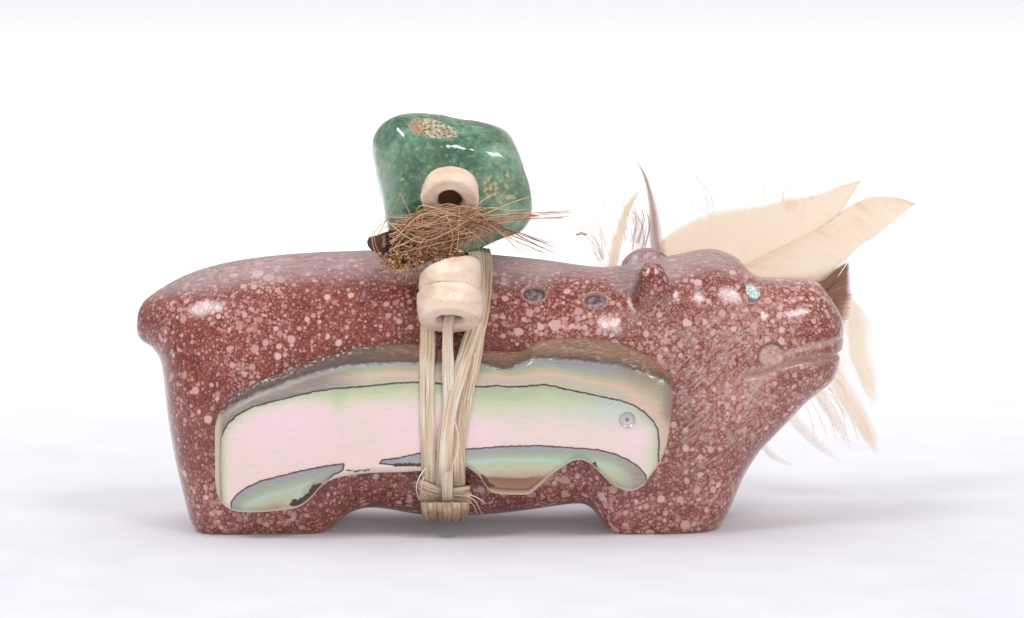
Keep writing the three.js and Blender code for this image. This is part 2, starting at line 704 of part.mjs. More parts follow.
const middleOffset = BOTTOM_BEAD.length + BEAD_STACK_GAP;
addPart("bottom_shell_bead", makeBead(BOTTOM_BEAD, STACK_BASE, STACK_LEAN, 0), creamShell);
addPart("middle_shell_bead", makeBead(MIDDLE_BEAD, STACK_BASE, STACK_LEAN, middleOffset), creamShell);
addPart("top_shell_bead", makeBead(TOP_BEAD, TOP_BEAD_FACE, TOP_BEAD_LEAN, 0), creamShell);

// Tumbled stone: a ball pressed softly against its facets.
function makeNugget() {
  const geometry = mergeVertices(new THREE.IcosahedronGeometry(1, 4).deleteAttribute("uv"));
  const bare = new THREE.BufferGeometry();
  bare.setAttribute("position", geometry.getAttribute("position"));
  bare.setIndex(geometry.getIndex());
  const position = bare.getAttribute("position");
  const direction = new THREE.Vector3();
  for (let i = 0; i < position.count; i += 1) {
    direction.fromBufferAttribute(position, i).normalize();
    let sum = 0;
    for (const [x, y, z, distance] of NUGGET_FACETS) {
      const lean = direction.x * x + direction.y * y + direction.z * z;
      sum += Math.pow(Math.max(0, lean / distance), NUGGET_ROUNDNESS);
    }
    direction.multiplyScalar(Math.pow(sum, -1 / NUGGET_ROUNDNESS));
    position.setXYZ(i, direction.x, direction.y, direction.z);
  }
  bare.translate(...NUGGET_CENTRE);
  return bare;
}

addPart("green_nugget", makeNugget(), greenStone);

// Dried tuft: a packed core with a few of its longest hairs.
function makeTuft() {
  const rings = TUFT_CORE.map(([x, z, half], i) => {
    const points = [];
    for (let j = 0; j < 10; j += 1) {
      const angle = (2 * Math.PI * j) / 10;
      const uneven = 1 + 0.1 * Math.sin(3 * j + 2 * i);
      const y = TUFT_Y - half * TUFT_FLATNESS * uneven * Math.sin(angle);
      points.push(new THREE.Vector3(x, y, z + half * uneven * Math.cos(angle)));
    }
    return points;
  });
  const [firstX, firstZ] = TUFT_CORE[0];
  const [lastX, lastZ] = TUFT_CORE[TUFT_CORE.length - 1];
  const stub = new THREE.Vector3(firstX - 0.2, TUFT_Y, firstZ);
  const end = new THREE.Vector3(lastX + 0.4, TUFT_Y, lastZ);
  let solid = toSolid(skin(rings, stub, end));
  for (const [x, z] of HAIR_TIPS) {
    const path = [
      new THREE.Vector3(lastX - 1.5, TUFT_Y, lastZ - 0.6),
      new THREE.Vector3((lastX + x) / 2, TUFT_Y - 0.4, (lastZ + z) / 2 + 0.3),
      new THREE.Vector3(x, TUFT_Y - 1.0, z),
    ];
    const out = path.map(() => new THREE.Vector3(0, -1, 0));
    solid = solid.add(toSolid(sweep(path, out, roundSection(HAIR_THICKNESS, 4), false)));
  }
  return toGeometry(solid);
}

addPart("hair_tuft", makeTuft(), driedHair);

// A feather lies flat in its own layer beyond the far side, its quill under the lashing.
function featherDepth(x, layer) {
  const share = Math.min(1, Math.max(0, (x - 36) / 9));
  return QUILL_Y + (layer - QUILL_Y) * share;
}

function makeVane({ upper, lower }, layer) {
  const half = VANE_THICKNESS / 2;
  const at = ([x, z], side) => new THREE.Vector3(x, featherDepth(x, layer) + side * half, z);
  const rings = upper.map((top, i) => [
    at(top, -1),
    at(lower[i], -1),
    at(lower[i], 1),
    at(top, 1),
  ]);
  const centre = (ring) => ring[0].clone().add(ring[2]).multiplyScalar(0.5);
  return toSolid(skin(rings, centre(rings[0]), centre(rings[rings.length - 1])));
}

function makeFeather({ layer, quill, vanes }) {
  const path = quill.map(([x, z]) => new THREE.Vector3(x, featherDepth(x, layer), z));
  const out = path.map(() => new THREE.Vector3(0, 1, 0));
  let solid = toSolid(sweep(path, out, roundSection(QUILL_RADIUS * 0.8, 6), false));
  for (const vane of vanes) solid = solid.add(makeVane(vane, layer));
  return toGeometry(solid);
}

for (const [name, feather] of Object.entries(FEATHERS)) {
  const look = name.includes("brown") ? brownFeather : creamFeather;
  addPart(name, makeFeather(feather), look);
}

// Stretches the object from the measured sizes to the main sizes.
const stretch = new THREE.Matrix4().makeScale(
  ANIMAL_LENGTH / MEASURED_LENGTH,
  ANIMAL_WIDTH / MEASURED_WIDTH,
  ANIMAL_HEIGHT / MEASURED_HEIGHT,
);
for (const mesh of group.children) mesh.geometry.applyMatrix4(stretch);

// Centres the object on X and Y and stands its lowest point on Z = 0.
const box = new THREE.Box3().setFromObject(group);
const middle = box.getCenter(new THREE.Vector3());
for (const mesh of group.children) {
  mesh.geometry.translate(-middle.x, -middle.y, -box.min.z);
}

export default group;
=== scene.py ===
# %% [markdown]
# A carved stone animal with its bundle.
# The object is a small red stone animal, 71 mm long, that stands on two block feet. A shell
# plaque, a green nugget, three shell beads, a hair tuft and five feathers are bound to it by
# flat sinew strands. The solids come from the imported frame, and this file dresses them.

import math
from functools import partial

import bmesh
import bpy
import numpy as np
from mathutils import Matrix, Vector, noise
from mathutils.kdtree import KDTree


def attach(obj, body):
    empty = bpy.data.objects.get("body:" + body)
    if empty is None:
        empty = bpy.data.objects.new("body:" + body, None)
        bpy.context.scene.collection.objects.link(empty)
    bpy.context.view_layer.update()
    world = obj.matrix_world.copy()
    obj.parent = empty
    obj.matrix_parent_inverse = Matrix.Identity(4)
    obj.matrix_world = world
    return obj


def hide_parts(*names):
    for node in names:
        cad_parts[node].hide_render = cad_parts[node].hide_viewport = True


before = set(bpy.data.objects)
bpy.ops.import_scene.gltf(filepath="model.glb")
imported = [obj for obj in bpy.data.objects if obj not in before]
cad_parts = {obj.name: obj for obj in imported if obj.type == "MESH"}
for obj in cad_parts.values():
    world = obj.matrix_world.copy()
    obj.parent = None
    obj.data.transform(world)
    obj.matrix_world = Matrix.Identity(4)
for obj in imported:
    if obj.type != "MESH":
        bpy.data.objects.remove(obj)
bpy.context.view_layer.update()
print("frame nodes:", sorted(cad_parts))

# %% [markdown]
# All pieces are shaped in millimetres, in a carver's frame: x runs from the tail tip to the
# snout, y is 0 on the animal's middle plane and negative on the plaque side, z is the height
# over the table. One function at the end of each piece takes it to metres and to the frame.

# %% Units and placing
MM = 0.001
TAIL_X = -39.45  # the tail tip in the frame
MIDDLE_Y = 0.78  # the middle plane in the frame


def to_frame(points):
    """Takes carver's millimetres to metres in the frame."""
    return (np.asarray(points, float) + (TAIL_X, MIDDLE_Y, 0)) * MM


def linear(code):
    """Turns an sRGB hex code into linear red, green, blue and full alpha."""
    parts = [int(code[i : i + 2], 16) / 255 for i in (1, 3, 5)]
    return (*[p / 12.92 if p <= 0.04045 else ((p + 0.055) / 1.055) ** 2.4 for p in parts], 1)


# %% [markdown]
# A material is a small graph. One function adds a node of any kind and gives its result.
# Inputs come in the node's own order, or by their names, which start with a capital; other
# names are the node's settings. A text as an input is a colour when it starts with #, and
# otherwise names one of the piece's own attributes.

# %% Adding nodes
def add_node(tree, kind, *ordered, out=None, stops=None, **named):
    """Adds a node, sets it and links it. Returns one output, or its first that is in use."""
    node = tree.nodes.new("ShaderNode" + kind)
    inputs = dict(enumerate(ordered))
    for name, value in named.items():
        if name[0].isupper():
            inputs[name.replace("_", " ")] = value
        else:
            setattr(node, name, value)
    for name, value in inputs.items():
        socket = node.inputs[name] if isinstance(name, int) else None
        socket = socket or next(s for s in node.inputs if s.name == name and s.enabled)
        if isinstance(value, str) and not value.startswith("#"):
            value = add_node(tree, "Attribute", out="Fac", attribute_name=value)
        if isinstance(value, bpy.types.NodeSocket):
            tree.links.new(value, socket)
        else:
            socket.default_value = linear(value) if isinstance(value, str) else value
    if stops:
        elements = node.color_ramp.elements
        while len(elements) < len(stops):
            elements.new(1)
        for element, (position, code) in zip(elements, stops):
            element.position = position
            element.color = linear(code)
    return node.outputs[out] if out else next(s for s in node.outputs if s.enabled)


def new_material(name, **constants):
    """Starts a material whose shader's own sockets hold the constants.

    Returns the material, its shader and the function that adds its nodes.
    """
    material = bpy.data.materials.new(name)
    material.use_nodes = True
    shader = material.node_tree.nodes["Principled BSDF"]
    for socket, value in constants.items():
        value = linear(value) if isinstance(value, str) else value
        shader.inputs[socket.replace("_", " ")].default_value = value
    return material, shader, partial(add_node, material.node_tree)


def dress(shader, **links):
    """Links results to the shader's sockets."""
    for socket, output in links.items():
        shader.id_data.links.new(output, shader.inputs[socket.replace("_", " ")])
    print("dressed", ", ".join(links), "with", len(shader.id_data.nodes), "nodes")


def in_millimetres(tree):
    """The piece's own coordinates in millimetres, so that pattern scales are real sizes."""
    place = add_node(tree, "TexCoord", out="Object")
    return add_node(tree, "VectorMath", place, Scale=1000.0, operation="SCALE")


def lay_over(below, above, amount, strength=1.0):
    """Lays one colour over another, as far as an amount from 0 to 1 and a strength say."""
    tree = below.id_data
    amount = add_node(tree, "Math", amount, strength, operation="MULTIPLY", use_clamp=True)
    return add_node(tree, "Mix", Factor=amount, A=below, B=above, data_type="RGBA")


# %% [markdown]
# The camera stands 450 mm off at the height of a seated person's eye and looks a little
# down. Its long lens keeps the animal's side almost flat. Two soft boxes left and right of
# the camera give the bright spots on the polish. A wide one hangs over the far side and a
# low one fills the front, and polish doesn't mirror these two. A white room does the rest.

# %% Camera
LOOK_AT = Vector((-0.0019, 0.00078, 0.0215))
CAMERA_RISE = math.radians(6.5)
CAMERA_DISTANCE = 0.45
camera_data = bpy.data.cameras.new("camera")
camera_data.lens = 158.2
camera_data.sensor_width = 36
camera_data.clip_start = 0.01
camera = bpy.data.objects.new("camera", camera_data)
bpy.context.scene.collection.objects.link(camera)
back = Vector((0, -math.cos(CAMERA_RISE), math.sin(CAMERA_RISE)))
camera.location = LOOK_AT + back * CAMERA_DISTANCE
camera.rotation_mode = "QUATERNION"
camera.rotation_quaternion = (-back).to_track_quat("-Z", "Y")
bpy.context.scene.camera = camera
bpy.context.scene.view_settings.view_transform = "Standard"
print("camera at", [round(v, 4) for v in camera.location])

# %% Soft boxes and room light
# Degrees round from the camera, degrees up, metres away, width and height in metres, watts,
# and whether polish mirrors the box.
SOFT_BOXES = {
    "left_box": (-55, 50, 0.7, 0.26, 0.22, 1.9, True),
    "right_box": (38, 50, 0.7, 0.22, 0.14, 1.3, True),
    "back_box": (180, 58, 0.8, 0.9, 0.8, 3.5, False),
    "front_fill": (28, 14, 0.9, 0.8, 0.4, 1.6, False),
}
for name, (azimuth, rise, distance, width, height, watts, mirrored) in SOFT_BOXES.items():
    data = bpy.data.lights.new(name, "AREA")
    data.shape = "RECTANGLE"
    data.size = width
    data.size_y = height
    data.energy = watts
    lamp = bpy.data.objects.new(name, data)
    bpy.context.scene.collection.objects.link(lamp)
    a, e = math.radians(azimuth), math.radians(rise)
    away = Vector((math.sin(a) * math.cos(e), -math.cos(a) * math.cos(e), math.sin(e)))
    lamp.location = LOOK_AT + away * distance
    lamp.rotation_mode = "QUATERNION"
    lamp.rotation_quaternion = away.to_track_quat("Z", "Y")
    lamp.visible_glossy = mirrored
    print(name, "at", [round(v, 3) for v in lamp.location])
ROOM_LIGHT = 0.45  # the white room lights less strongly than it looks
world = bpy.data.worlds.new("white_room")
bpy.context.scene.world = world
world.use_nodes = True
room = world.node_tree.nodes["Background"]
room.inputs["Color"].default_value = linear("#FFFFFF")
seen = add_node(world.node_tree, "LightPath", out="Is Camera Ray")
strength = add_node(world.node_tree, "MapRange", seen, To_Min=ROOM_LIGHT, To_Max=1.0)
world.node_tree.links.new(strength, room.inputs["Strength"])

# %% [markdown]
# The object stands on a sheet of white paper that sweeps up behind it. A flat square is
# enough for the floor, because its own glow grows towards the back until it is as white as
# the room, and so hides the line between them.

# %% Floor
floor_mesh = bpy.data.meshes.new("floor")
bm = bmesh.new()
bmesh.ops.create_grid(bm, x_segments=1, y_segments=1, size=3.0)
bm.to_mesh(floor_mesh)
bm.free()
floor = bpy.data.objects.new("floor", floor_mesh)
bpy.context.scene.collection.objects.link(floor)
floor_paint, floor_shader, sweep = new_material(
    "white_paper_sweep", Roughness=0.7, Emission_Color="#FFFFFF"
)
# Object coordinates are in metres, so 120 makes faint clouds of about 8 mm in the paper.
spot = sweep("TexCoord", out="Object")
grain = sweep("TexNoise", spot, Scale=120.0, Detail=6.0)
paper = sweep("ValToRGB", grain, stops=[(0.3, "#D4D2DA"), (0.7, "#DBD9E1")])
far = sweep("SeparateXYZ", spot, out="Y")
far = sweep("MapRange", far, -0.02, 0.3, 0.07, 0.55, interpolation_type="SMOOTHSTEP")
dress(floor_shader, Base_Color=paper, Emission_Strength=far)
floor_mesh.materials.append(floor_paint)
print("floor, m:", [round(v, 2) for v in floor.dimensions])

# %% [markdown]
# The stone animal is one carved and polished block. A carver saws the block, grinds the
# outline and then rounds the body, so its form is best told by rings across it from tail to
# nose. Here a sphere's rings are moved onto those cross-sections, the ears are added as two
# pressed ellipsoids, and a voxel skin melts them together as grinding does.

# %% Rings of the body
# Top x, top z, bottom x, bottom z, half width, share of height that is widest,
# roundness of the upper half, roundness of the lower half (2 is round, 6 is boxy).
BODY_RINGS = [
    [0.0, 20.2, 0.0, 20.2, 0.0, 0.5, 2.0, 2.0],
    [0.05, 20.7, 0.02, 19.7, 0.9, 0.5, 2.0, 2.0],
    [0.3, 21.6, 0.12, 18.9, 1.9, 0.5, 2.0, 2.0],
    [0.9, 22.45, 0.5, 18.35, 2.8, 0.5, 2.0, 2.0],
    [1.8, 23.15, 1.1, 18.0, 3.7, 0.5, 2.0, 2.0],
    [3.0, 23.9, 1.8, 17.45, 4.7, 0.5, 2.0, 2.1],
    [4.4, 24.65, 2.4, 16.5, 5.6, 0.5, 2.1, 2.2],
    [6.0, 25.3, 2.75, 14.6, 6.5, 0.5, 2.1, 2.3],
    [8.0, 25.9, 3.05, 11.8, 7.5, 0.5, 2.1, 2.5],
    [10.2, 26.35, 3.45, 9.0, 8.2, 0.48, 2.2, 2.7],
    [12.6, 26.7, 3.95, 6.4, 8.8, 0.46, 2.2, 3.0],
    [15.0, 26.95, 4.6, 3.8, 9.2, 0.45, 2.2, 3.4],
    [17.0, 27.1, 5.2, 1.6, 9.4, 0.45, 2.2, 4.0],
    [18.6, 27.2, 5.8, 0.2, 9.6, 0.46, 2.2, 4.8],
    [20.0, 27.25, 6.9, -0.9, 9.7, 0.47, 2.2, 5.6],
    [21.5, 27.3, 9.8, -1.0, 9.75, 0.48, 2.2, 6.0],
    [23.0, 27.35, 13.2, -1.0, 9.7, 0.48, 2.2, 6.0],
    [24.5, 27.4, 16.2, -1.0, 9.6, 0.48, 2.2, 5.6],
    [25.8, 27.4, 18.3, -0.9, 9.5, 0.48, 2.2, 5.0],
    [27.0, 27.4, 19.5, -0.2, 9.45, 0.48, 2.2, 4.4],
    [28.0, 27.4, 20.6, 0.8, 9.4, 0.47, 2.2, 3.8],
    [29.0, 27.4, 21.7, 1.5, 9.35, 0.46, 2.2, 3.4],
    [30.0, 27.35, 23.4, 1.8, 9.3, 0.46, 2.2, 3.2],
    [31.0, 27.3, 25.5, 1.6, 9.3, 0.46, 2.2, 3.2],
    [32.3, 27.2, 28.0, 1.15, 9.25, 0.46, 2.2, 3.2],
    [34.0, 27.1, 31.5, 0.95, 9.25, 0.46, 2.2, 3.2],
    [36.5, 26.85, 35.5, 1.15, 9.3, 0.46, 2.2, 3.2],
    [39.0, 26.6, 39.3, 1.6, 9.4, 0.46, 2.2, 3.2],
    [41.5, 26.3, 42.4, 2.1, 9.55, 0.46, 2.2, 3.3],
    [43.8, 25.95, 44.7, 2.3, 9.7, 0.46, 2.2, 3.6],
    [45.6, 25.75, 45.9, 1.5, 9.8, 0.47, 2.2, 4.2],
    [47.0, 25.7, 46.7, 0.4, 9.75, 0.48, 2.2, 5.0],
    [48.2, 25.8, 47.6, -0.6, 9.6, 0.48, 2.3, 5.6],
    [49.4, 26.0, 49.0, -1.0, 9.45, 0.48, 2.3, 6.0],
    [50.6, 26.2, 51.0, -1.0, 9.4, 0.48, 2.4, 6.0],
    [51.8, 26.45, 53.2, -1.0, 9.3, 0.48, 2.4, 6.0],
    [53.3, 26.75, 55.4, -1.0, 9.1, 0.48, 2.5, 5.4],
    [54.8, 27.1, 57.2, -0.7, 8.8, 0.48, 2.5, 4.6],
    [56.2, 27.4, 58.4, 0.2, 8.5, 0.47, 2.4, 3.8],
    [57.6, 27.5, 59.3, 1.6, 8.3, 0.46, 2.4, 3.2],
    [58.8, 27.2, 60.1, 3.4, 8.1, 0.45, 2.4, 2.8],
    [59.8, 26.75, 60.9, 5.1, 7.9, 0.45, 2.4, 2.6],
    [60.7, 26.0, 62.2, 7.1, 7.6, 0.46, 2.4, 2.4],
    [61.4, 25.15, 63.7, 8.7, 7.3, 0.48, 2.2, 2.3],
    [62.4, 24.7, 65.3, 10.35, 7.0, 0.5, 2.2, 2.3],
    [63.9, 24.6, 67.0, 12.2, 6.6, 0.52, 2.2, 2.4],
    [65.6, 24.6, 68.5, 13.4, 6.1, 0.52, 2.2, 2.5],
    [67.1, 24.5, 69.5, 14.3, 5.5, 0.52, 2.2, 2.6],
    [68.2, 24.1, 70.0, 15.3, 4.8, 0.52, 2.2, 2.6],
    [69.1, 23.1, 70.3, 16.5, 4.0, 0.5, 2.4, 2.5],
    [69.9, 21.8, 70.6, 17.7, 2.9, 0.5, 2.2, 2.3],
    [70.45, 20.8, 70.72, 18.7, 1.7, 0.5, 2.0, 2.0],
    [70.8, 19.7, 70.8, 19.7, 0.0, 0.5, 2.0, 2.0],
]
RINGS_ALONG = 260
POINTS_ROUND = 200
OUTLINE_STEPS = 1440  # finer than the rings, so that their points come out evenly spaced


def smooth_rows(rows, position):
    """Reads rows of numbers at fractional row positions, as a smooth line through them."""
    rows = np.asarray(rows, float)
    last = len(rows) - 1
    position = np.clip(np.asarray(position, float), 0, last)
    i = np.minimum(position.astype(int), last - 1)
    t = (position - i)[:, None]
    p0, p1, p2, p3 = (rows[np.clip(i + k, 0, last)] for k in (-1, 0, 1, 2))
    return 0.5 * (
        2 * p1
        + (p2 - p0) * t
        + (2 * p0 - 5 * p1 + 4 * p2 - p3) * t**2
        + (3 * p1 - p0 - 3 * p2 + p3) * t**3
    )


def run_along(spots):
    """The length run along a line up to each of its spots."""
    return np.concatenate([[0], np.cumsum(np.linalg.norm(np.diff(spots, axis=0), axis=1))])


def ring_outline(ring, count):
    """Evenly spaced points round one ring, from its top round the plaque side."""
    top_x, top_z, low_x, low_z, half_width, widest, upper, lower = ring
    angle = np.linspace(0, 2 * math.pi, OUTLINE_STEPS + 1)
    cosine, sine = np.cos(angle), np.sin(angle)
    power = np.where(cosine >= 0, upper, lower)
    rise = np.abs(cosine) ** (2 / power)
    reach = np.sign(sine) * np.abs(sine) ** (2 / power)
    share = np.where(cosine >= 0, widest + (1 - widest) * rise, widest - widest * rise)
    spots = np.stack(
        [low_x + (top_x - low_x) * share, -half_width * reach, low_z + (top_z - low_z) * share],
        axis=1,
    )
    run = run_along(spots)
    at = np.linspace(0, max(run[-1], 1e-9), count + 1)[:-1]  # the end rings are one point
    return np.stack([np.interp(at, run, spots[:, k]) for k in range(3)], axis=1)


row_at = np.linspace(0, len(BODY_RINGS) - 1, RINGS_ALONG + 1)
BODY_FORM = np.stack([ring_outline(ring, POINTS_ROUND) for ring in smooth_rows(BODY_RINGS, row_at)])
BODY_FORM[..., 2] = np.maximum(BODY_FORM[..., 2], 0)
print("body form", BODY_FORM.shape, BODY_FORM.min((0, 1)).round(2), BODY_FORM.max((0, 1)).round(2))

# %% Skin of the body
EAR_CENTRE = (51.4, 6.3, 23.6)
EAR_HALF_SIZE = (1.7, 1.6, 3.55)
EAR_LEAN = 0.12  # radians, tips inward
EAR_SPLAY = 0.35  # how far the root sinks into the neck
FAR_EAR_SCALE = (1.85, 1.2, 1.0)  # the far ear is broader
EAR_ROOT = (22.3, 4.0, 4.6, 25.6)  # middle height, half length, half height, top
EAR_ROOT_PASSES = 22  # smoothing that melts the roots into the neck
SKIN_VOXEL = 0.3  # mm, fine enough for the polished form


def read_points(mesh):
    """The places of a mesh's vertices as an array."""
    places = np.empty(len(mesh.vertices) * 3)
    mesh.vertices.foreach_get("co", places)
    return places.reshape(-1, 3)


def write_points(mesh, places):
    """Moves a mesh's vertices."""
    mesh.vertices.foreach_set("co", np.asarray(places, float).ravel())
    mesh.update()


def read_normals(mesh):
    """The outward directions at a mesh's vertices."""
    out = np.empty(len(mesh.vertices) * 3)
    mesh.vertices.foreach_get("normal", out)
    return out.reshape(-1, 3)


def finished(obj):
    """Applies an object's modifiers to its mesh."""
    graph = bpy.context.evaluated_depsgraph_get()
    mesh = bpy.data.meshes.new_from_object(obj.evaluated_get(graph))
    obj.modifiers.clear()
    obj.data = mesh
    return mesh


def new_object(name, bm):
    """Puts a bmesh into the scene as an object."""
    mesh = bpy.data.meshes.new(name)
    bm.to_mesh(mesh)
    bm.free()
    obj = bpy.data.objects.new(name, mesh)
    bpy.context.scene.collection.objects.link(obj)
    return obj


bm = bmesh.new()
bmesh.ops.create_uvsphere(bm, u_segments=POINTS_ROUND, v_segments=RINGS_ALONG, radius=1)
for vert in bm.verts:
    down = math.acos(max(-1, min(1, vert.co.z))) / math.pi * RINGS_ALONG
    turn = math.atan2(vert.co.y, vert.co.x) / (2 * math.pi) * POINTS_ROUND
    vert.co = BODY_FORM[round(down), round(turn) % POINTS_ROUND]
for side in (-1, 1):
    ear = bmesh.ops.create_icosphere(bm, subdivisions=4, radius=1)["verts"]
    bmesh.ops.scale(bm, verts=ear, vec=EAR_HALF_SIZE)
    for vert in ear:
        if vert.co.z < 0:
            vert.co.y += EAR_SPLAY * side * vert.co.z
    bmesh.ops.rotate(bm, verts=ear, matrix=Matrix.Rotation(EAR_LEAN * side, 3, "X"))
    if side > 0:
        bmesh.ops.scale(bm, verts=ear, vec=FAR_EAR_SCALE)
    centre = (EAR_CENTRE[0] - 0.1 - 0.1 * side, EAR_CENTRE[1] * side, EAR_CENTRE[2])
    bmesh.ops.translate(bm, verts=ear, vec=centre)
bmesh.ops.recalc_face_normals(bm, faces=bm.faces)
animal = new_object("carved_animal", bm)
skin = animal.modifiers.new("skin", "REMESH")
skin.mode = "VOXEL"
skin.voxel_size = SKIN_VOXEL
polish = animal.modifiers.new("polish", "SMOOTH")
polish.factor = 0.5
polish.iterations = 4
finished(animal)
root_z, root_long, root_high, root_top = EAR_ROOT
bm = bmesh.new()
bm.from_mesh(animal.data)
ear_roots = [
    v for v in bm.verts
    if abs(v.co.y) > 4.5 and v.co.z < root_top
    and math.hypot((v.co.x - EAR_CENTRE[0]) / root_long, (v.co.z - root_z) / root_high) < 1
]
for _ in range(EAR_ROOT_PASSES):
    bmesh.ops.smooth_vert(
        bm, verts=ear_roots, factor=0.5, use_axis_x=True, use_axis_y=True, use_axis_z=True
    )
bm.to_mesh(animal.data)
bm.free()
print("skin faces:", len(animal.data.polygons))

# %% [markdown]
# Grinding, drilling and sawing leave small marks: a filed crease behind each ear, the saw
# line of the mouth with a fine line above it for the lip, two shallow drill pits on the
# back, the ring of a core drill at the mouth's corner, and sockets for the eyes. Only the
# skin near them is cut finer, and its points are pressed in by smooth hollows. The same
# hollows are kept as attributes, so the material can put painted shade, dark and pale stone
# and dull stone exactly there.

# %% Finer skin near the small marks
EYE_CENTRE = (61.35, 23.85)
EYE_RADIUS = 1.0
PIT_RADIUS = 1.05
PIT_CENTRES = [(39.75, 23.75), (45.8, 23.1)]
PIT_FLATNESS = 0.62  # they are low ovals
RING_CENTRE = (63.13, 17.55)
RING_RADIUS = 1.3
MOUTH_LINE = [(60.6, 15.7), (62.0, 15.9), (64.1, 16.6), (66.1, 17.05), (69.3, 17.2), (71.5, 17.2)]
LIP_LINE = [(62.6, 17.3), (65.6, 18.15), (67.98, 18.67), (71.5, 19.0)]
FINE_SPOTS = [(*EYE_CENTRE, 1.6), *[(x, z, 1.7) for x, z in PIT_CENTRES], (*RING_CENTRE, 2.2)]


def away_from_line(x, z, line):
    """Distance in the side view from each point to a line of straight runs."""
    nearest = np.full(len(x), 1e9)
    for (x0, z0), (x1, z1) in zip(line, line[1:]):
        run_x, run_z = x1 - x0, z1 - z0
        t = np.clip(((x - x0) * run_x + (z - z0) * run_z) / (run_x**2 + run_z**2), 0, 1)
        nearest = np.minimum(nearest, np.hypot(x - x0 - t * run_x, z - z0 - t * run_z))
    return nearest


def is_fine(centre):
    """True where small marks need a finer skin."""
    x, y, z = centre
    if x > 59.8 and 14.6 < z < 20.0:
        return True
    return any(abs(y) > 2.5 and math.hypot(x - a, z - b) < r for a, b, r in FINE_SPOTS)


bm = bmesh.new()
bm.from_mesh(animal.data)
fine_faces = [face for face in bm.faces if is_fine(face.calc_center_median())]
fine_edges = list({edge for face in fine_faces for edge in face.edges})
bmesh.ops.subdivide_edges(bm, edges=fine_edges, cuts=1, use_grid_fill=True, smooth=1.0)
bmesh.ops.triangulate(bm, faces=[face for face in bm.faces if len(face.verts) > 4])
bm.to_mesh(animal.data)
bm.free()
print("faces after the finer cut:", len(animal.data.polygons))


# %% Smooth shapes of marks
def bump(distance, width):
    """A smooth hill of height 1 that is as wide as given."""
    return np.exp(-((distance / width) ** 2))


def oval(x, z, middle, widths):
    """A smooth oval hill of height 1 in the side view."""
    return bump(x - middle[0], widths[0]) * bump(z - middle[1], widths[1])


def ramp(value, start, stop):
    """0 up to the start, 1 from the stop on, and a straight rise between them."""
    return np.clip((value - start) / (stop - start), 0, 1)


def eased(share):
    """Softens both ends of a straight rise."""
    return share * share * (3 - 2 * share)


def dish(distance, radius, soft=0.2):
    """1 inside a radius, 0 outside, with a short smooth wall."""
    return eased(np.clip((radius - distance) / soft + 0.5, 0, 1))


def keep_attributes(mesh, **facts):
    """Stores one number for each vertex under each name."""
    for name, values in facts.items():
        layer = mesh.attributes.new(name, "FLOAT", "POINT")
        layer.data.foreach_set("value", np.asarray(values, np.float32))


# %% Pressing the marks in
CREASE_MIDDLE, CREASE_WIDTHS, CREASE_DEPTH = (48.6, 22.4), (1.6, 2.8), 0.35
points = read_points(animal.data)
x, y, z = points.T
near = y < 0
y = y - np.sign(y) * CREASE_DEPTH * oval(x, z, CREASE_MIDDLE, CREASE_WIDTHS)
points = np.stack([x, y, z], axis=1)
write_points(animal.data, points)
outward = read_normals(animal.data)

from_mouth = away_from_line(x, z, MOUTH_LINE)
from_lip = away_from_line(x, z, LIP_LINE)
ring_away = np.hypot(x - RING_CENTRE[0], z - RING_CENTRE[1])
ring = bump(ring_away - RING_RADIUS, 0.12) * near * ramp(z, 16.7, 17.2)
core = dish(ring_away, RING_RADIUS) * near * ramp(z, 16.4, 17.3)
eye = dish(np.hypot(x - EYE_CENTRE[0], z - EYE_CENTRE[1]), EYE_RADIUS + 0.05, 0.25)
pit_away = np.min([np.hypot(x - a, (z - b) / PIT_FLATNESS) for a, b in PIT_CENTRES], axis=0)
pit = dish(pit_away, PIT_RADIUS, 0.35) * near
# Each mark's depth in mm.
depth = 0.55 * bump(from_mouth, 0.25) + 0.14 * bump(from_lip, 0.13)
depth = depth + 0.16 * ring + 0.05 * core + 0.3 * eye + 0.5 * pit
points -= outward * depth[:, None]
points[:, 2] = np.maximum(points[:, 2], 0)
write_points(animal.data, points)
print("deepest mark, mm:", round(float(depth.max()), 2))

# %% Where the stone is filed, hazy, dark or pale
filed = oval(x, z, (57.0, 14.5), (6.0, 8.5)) * near
filed = np.maximum(filed, 0.8 * oval(x, z, (48.9, 23.5), (1.6, 3.0)))
filed = np.maximum(filed, 0.7 * oval(x, z, (53.0, 21.6), (3.0, 2.2)) * near)
# The haze lies on upward faces, between the ears and beside the near one, and less on the
# muzzle and the back in front of it. It is partly fine polishing scratches and partly a
# painted reflection of the bright room above.
upward = read_normals(animal.data)[:, 2]
less_haze = 0.25 * ramp(x, 61, 62.5) + 0.17 * ramp(x, 40, 43) * ramp(x, 49, 47)
haze = eased(np.clip((upward - 0.6 - less_haze) / 0.28, 0, 1))
between_ears = bump(x - 50.2, 3.0) * ramp(y, -6.4, -5.6) * (z > 24.0) * ramp(z, 26.95, 26.65)
beside_ear = near * ramp(x, 50.2, 49.7) * ramp(x, 47.2, 48.4) * ramp(z, 23.6, 24.4)
haze = np.maximum(haze, between_ears * (0.9 + 0.1 * (y > 0)))
haze = np.maximum(haze, 0.9 * beside_ear)
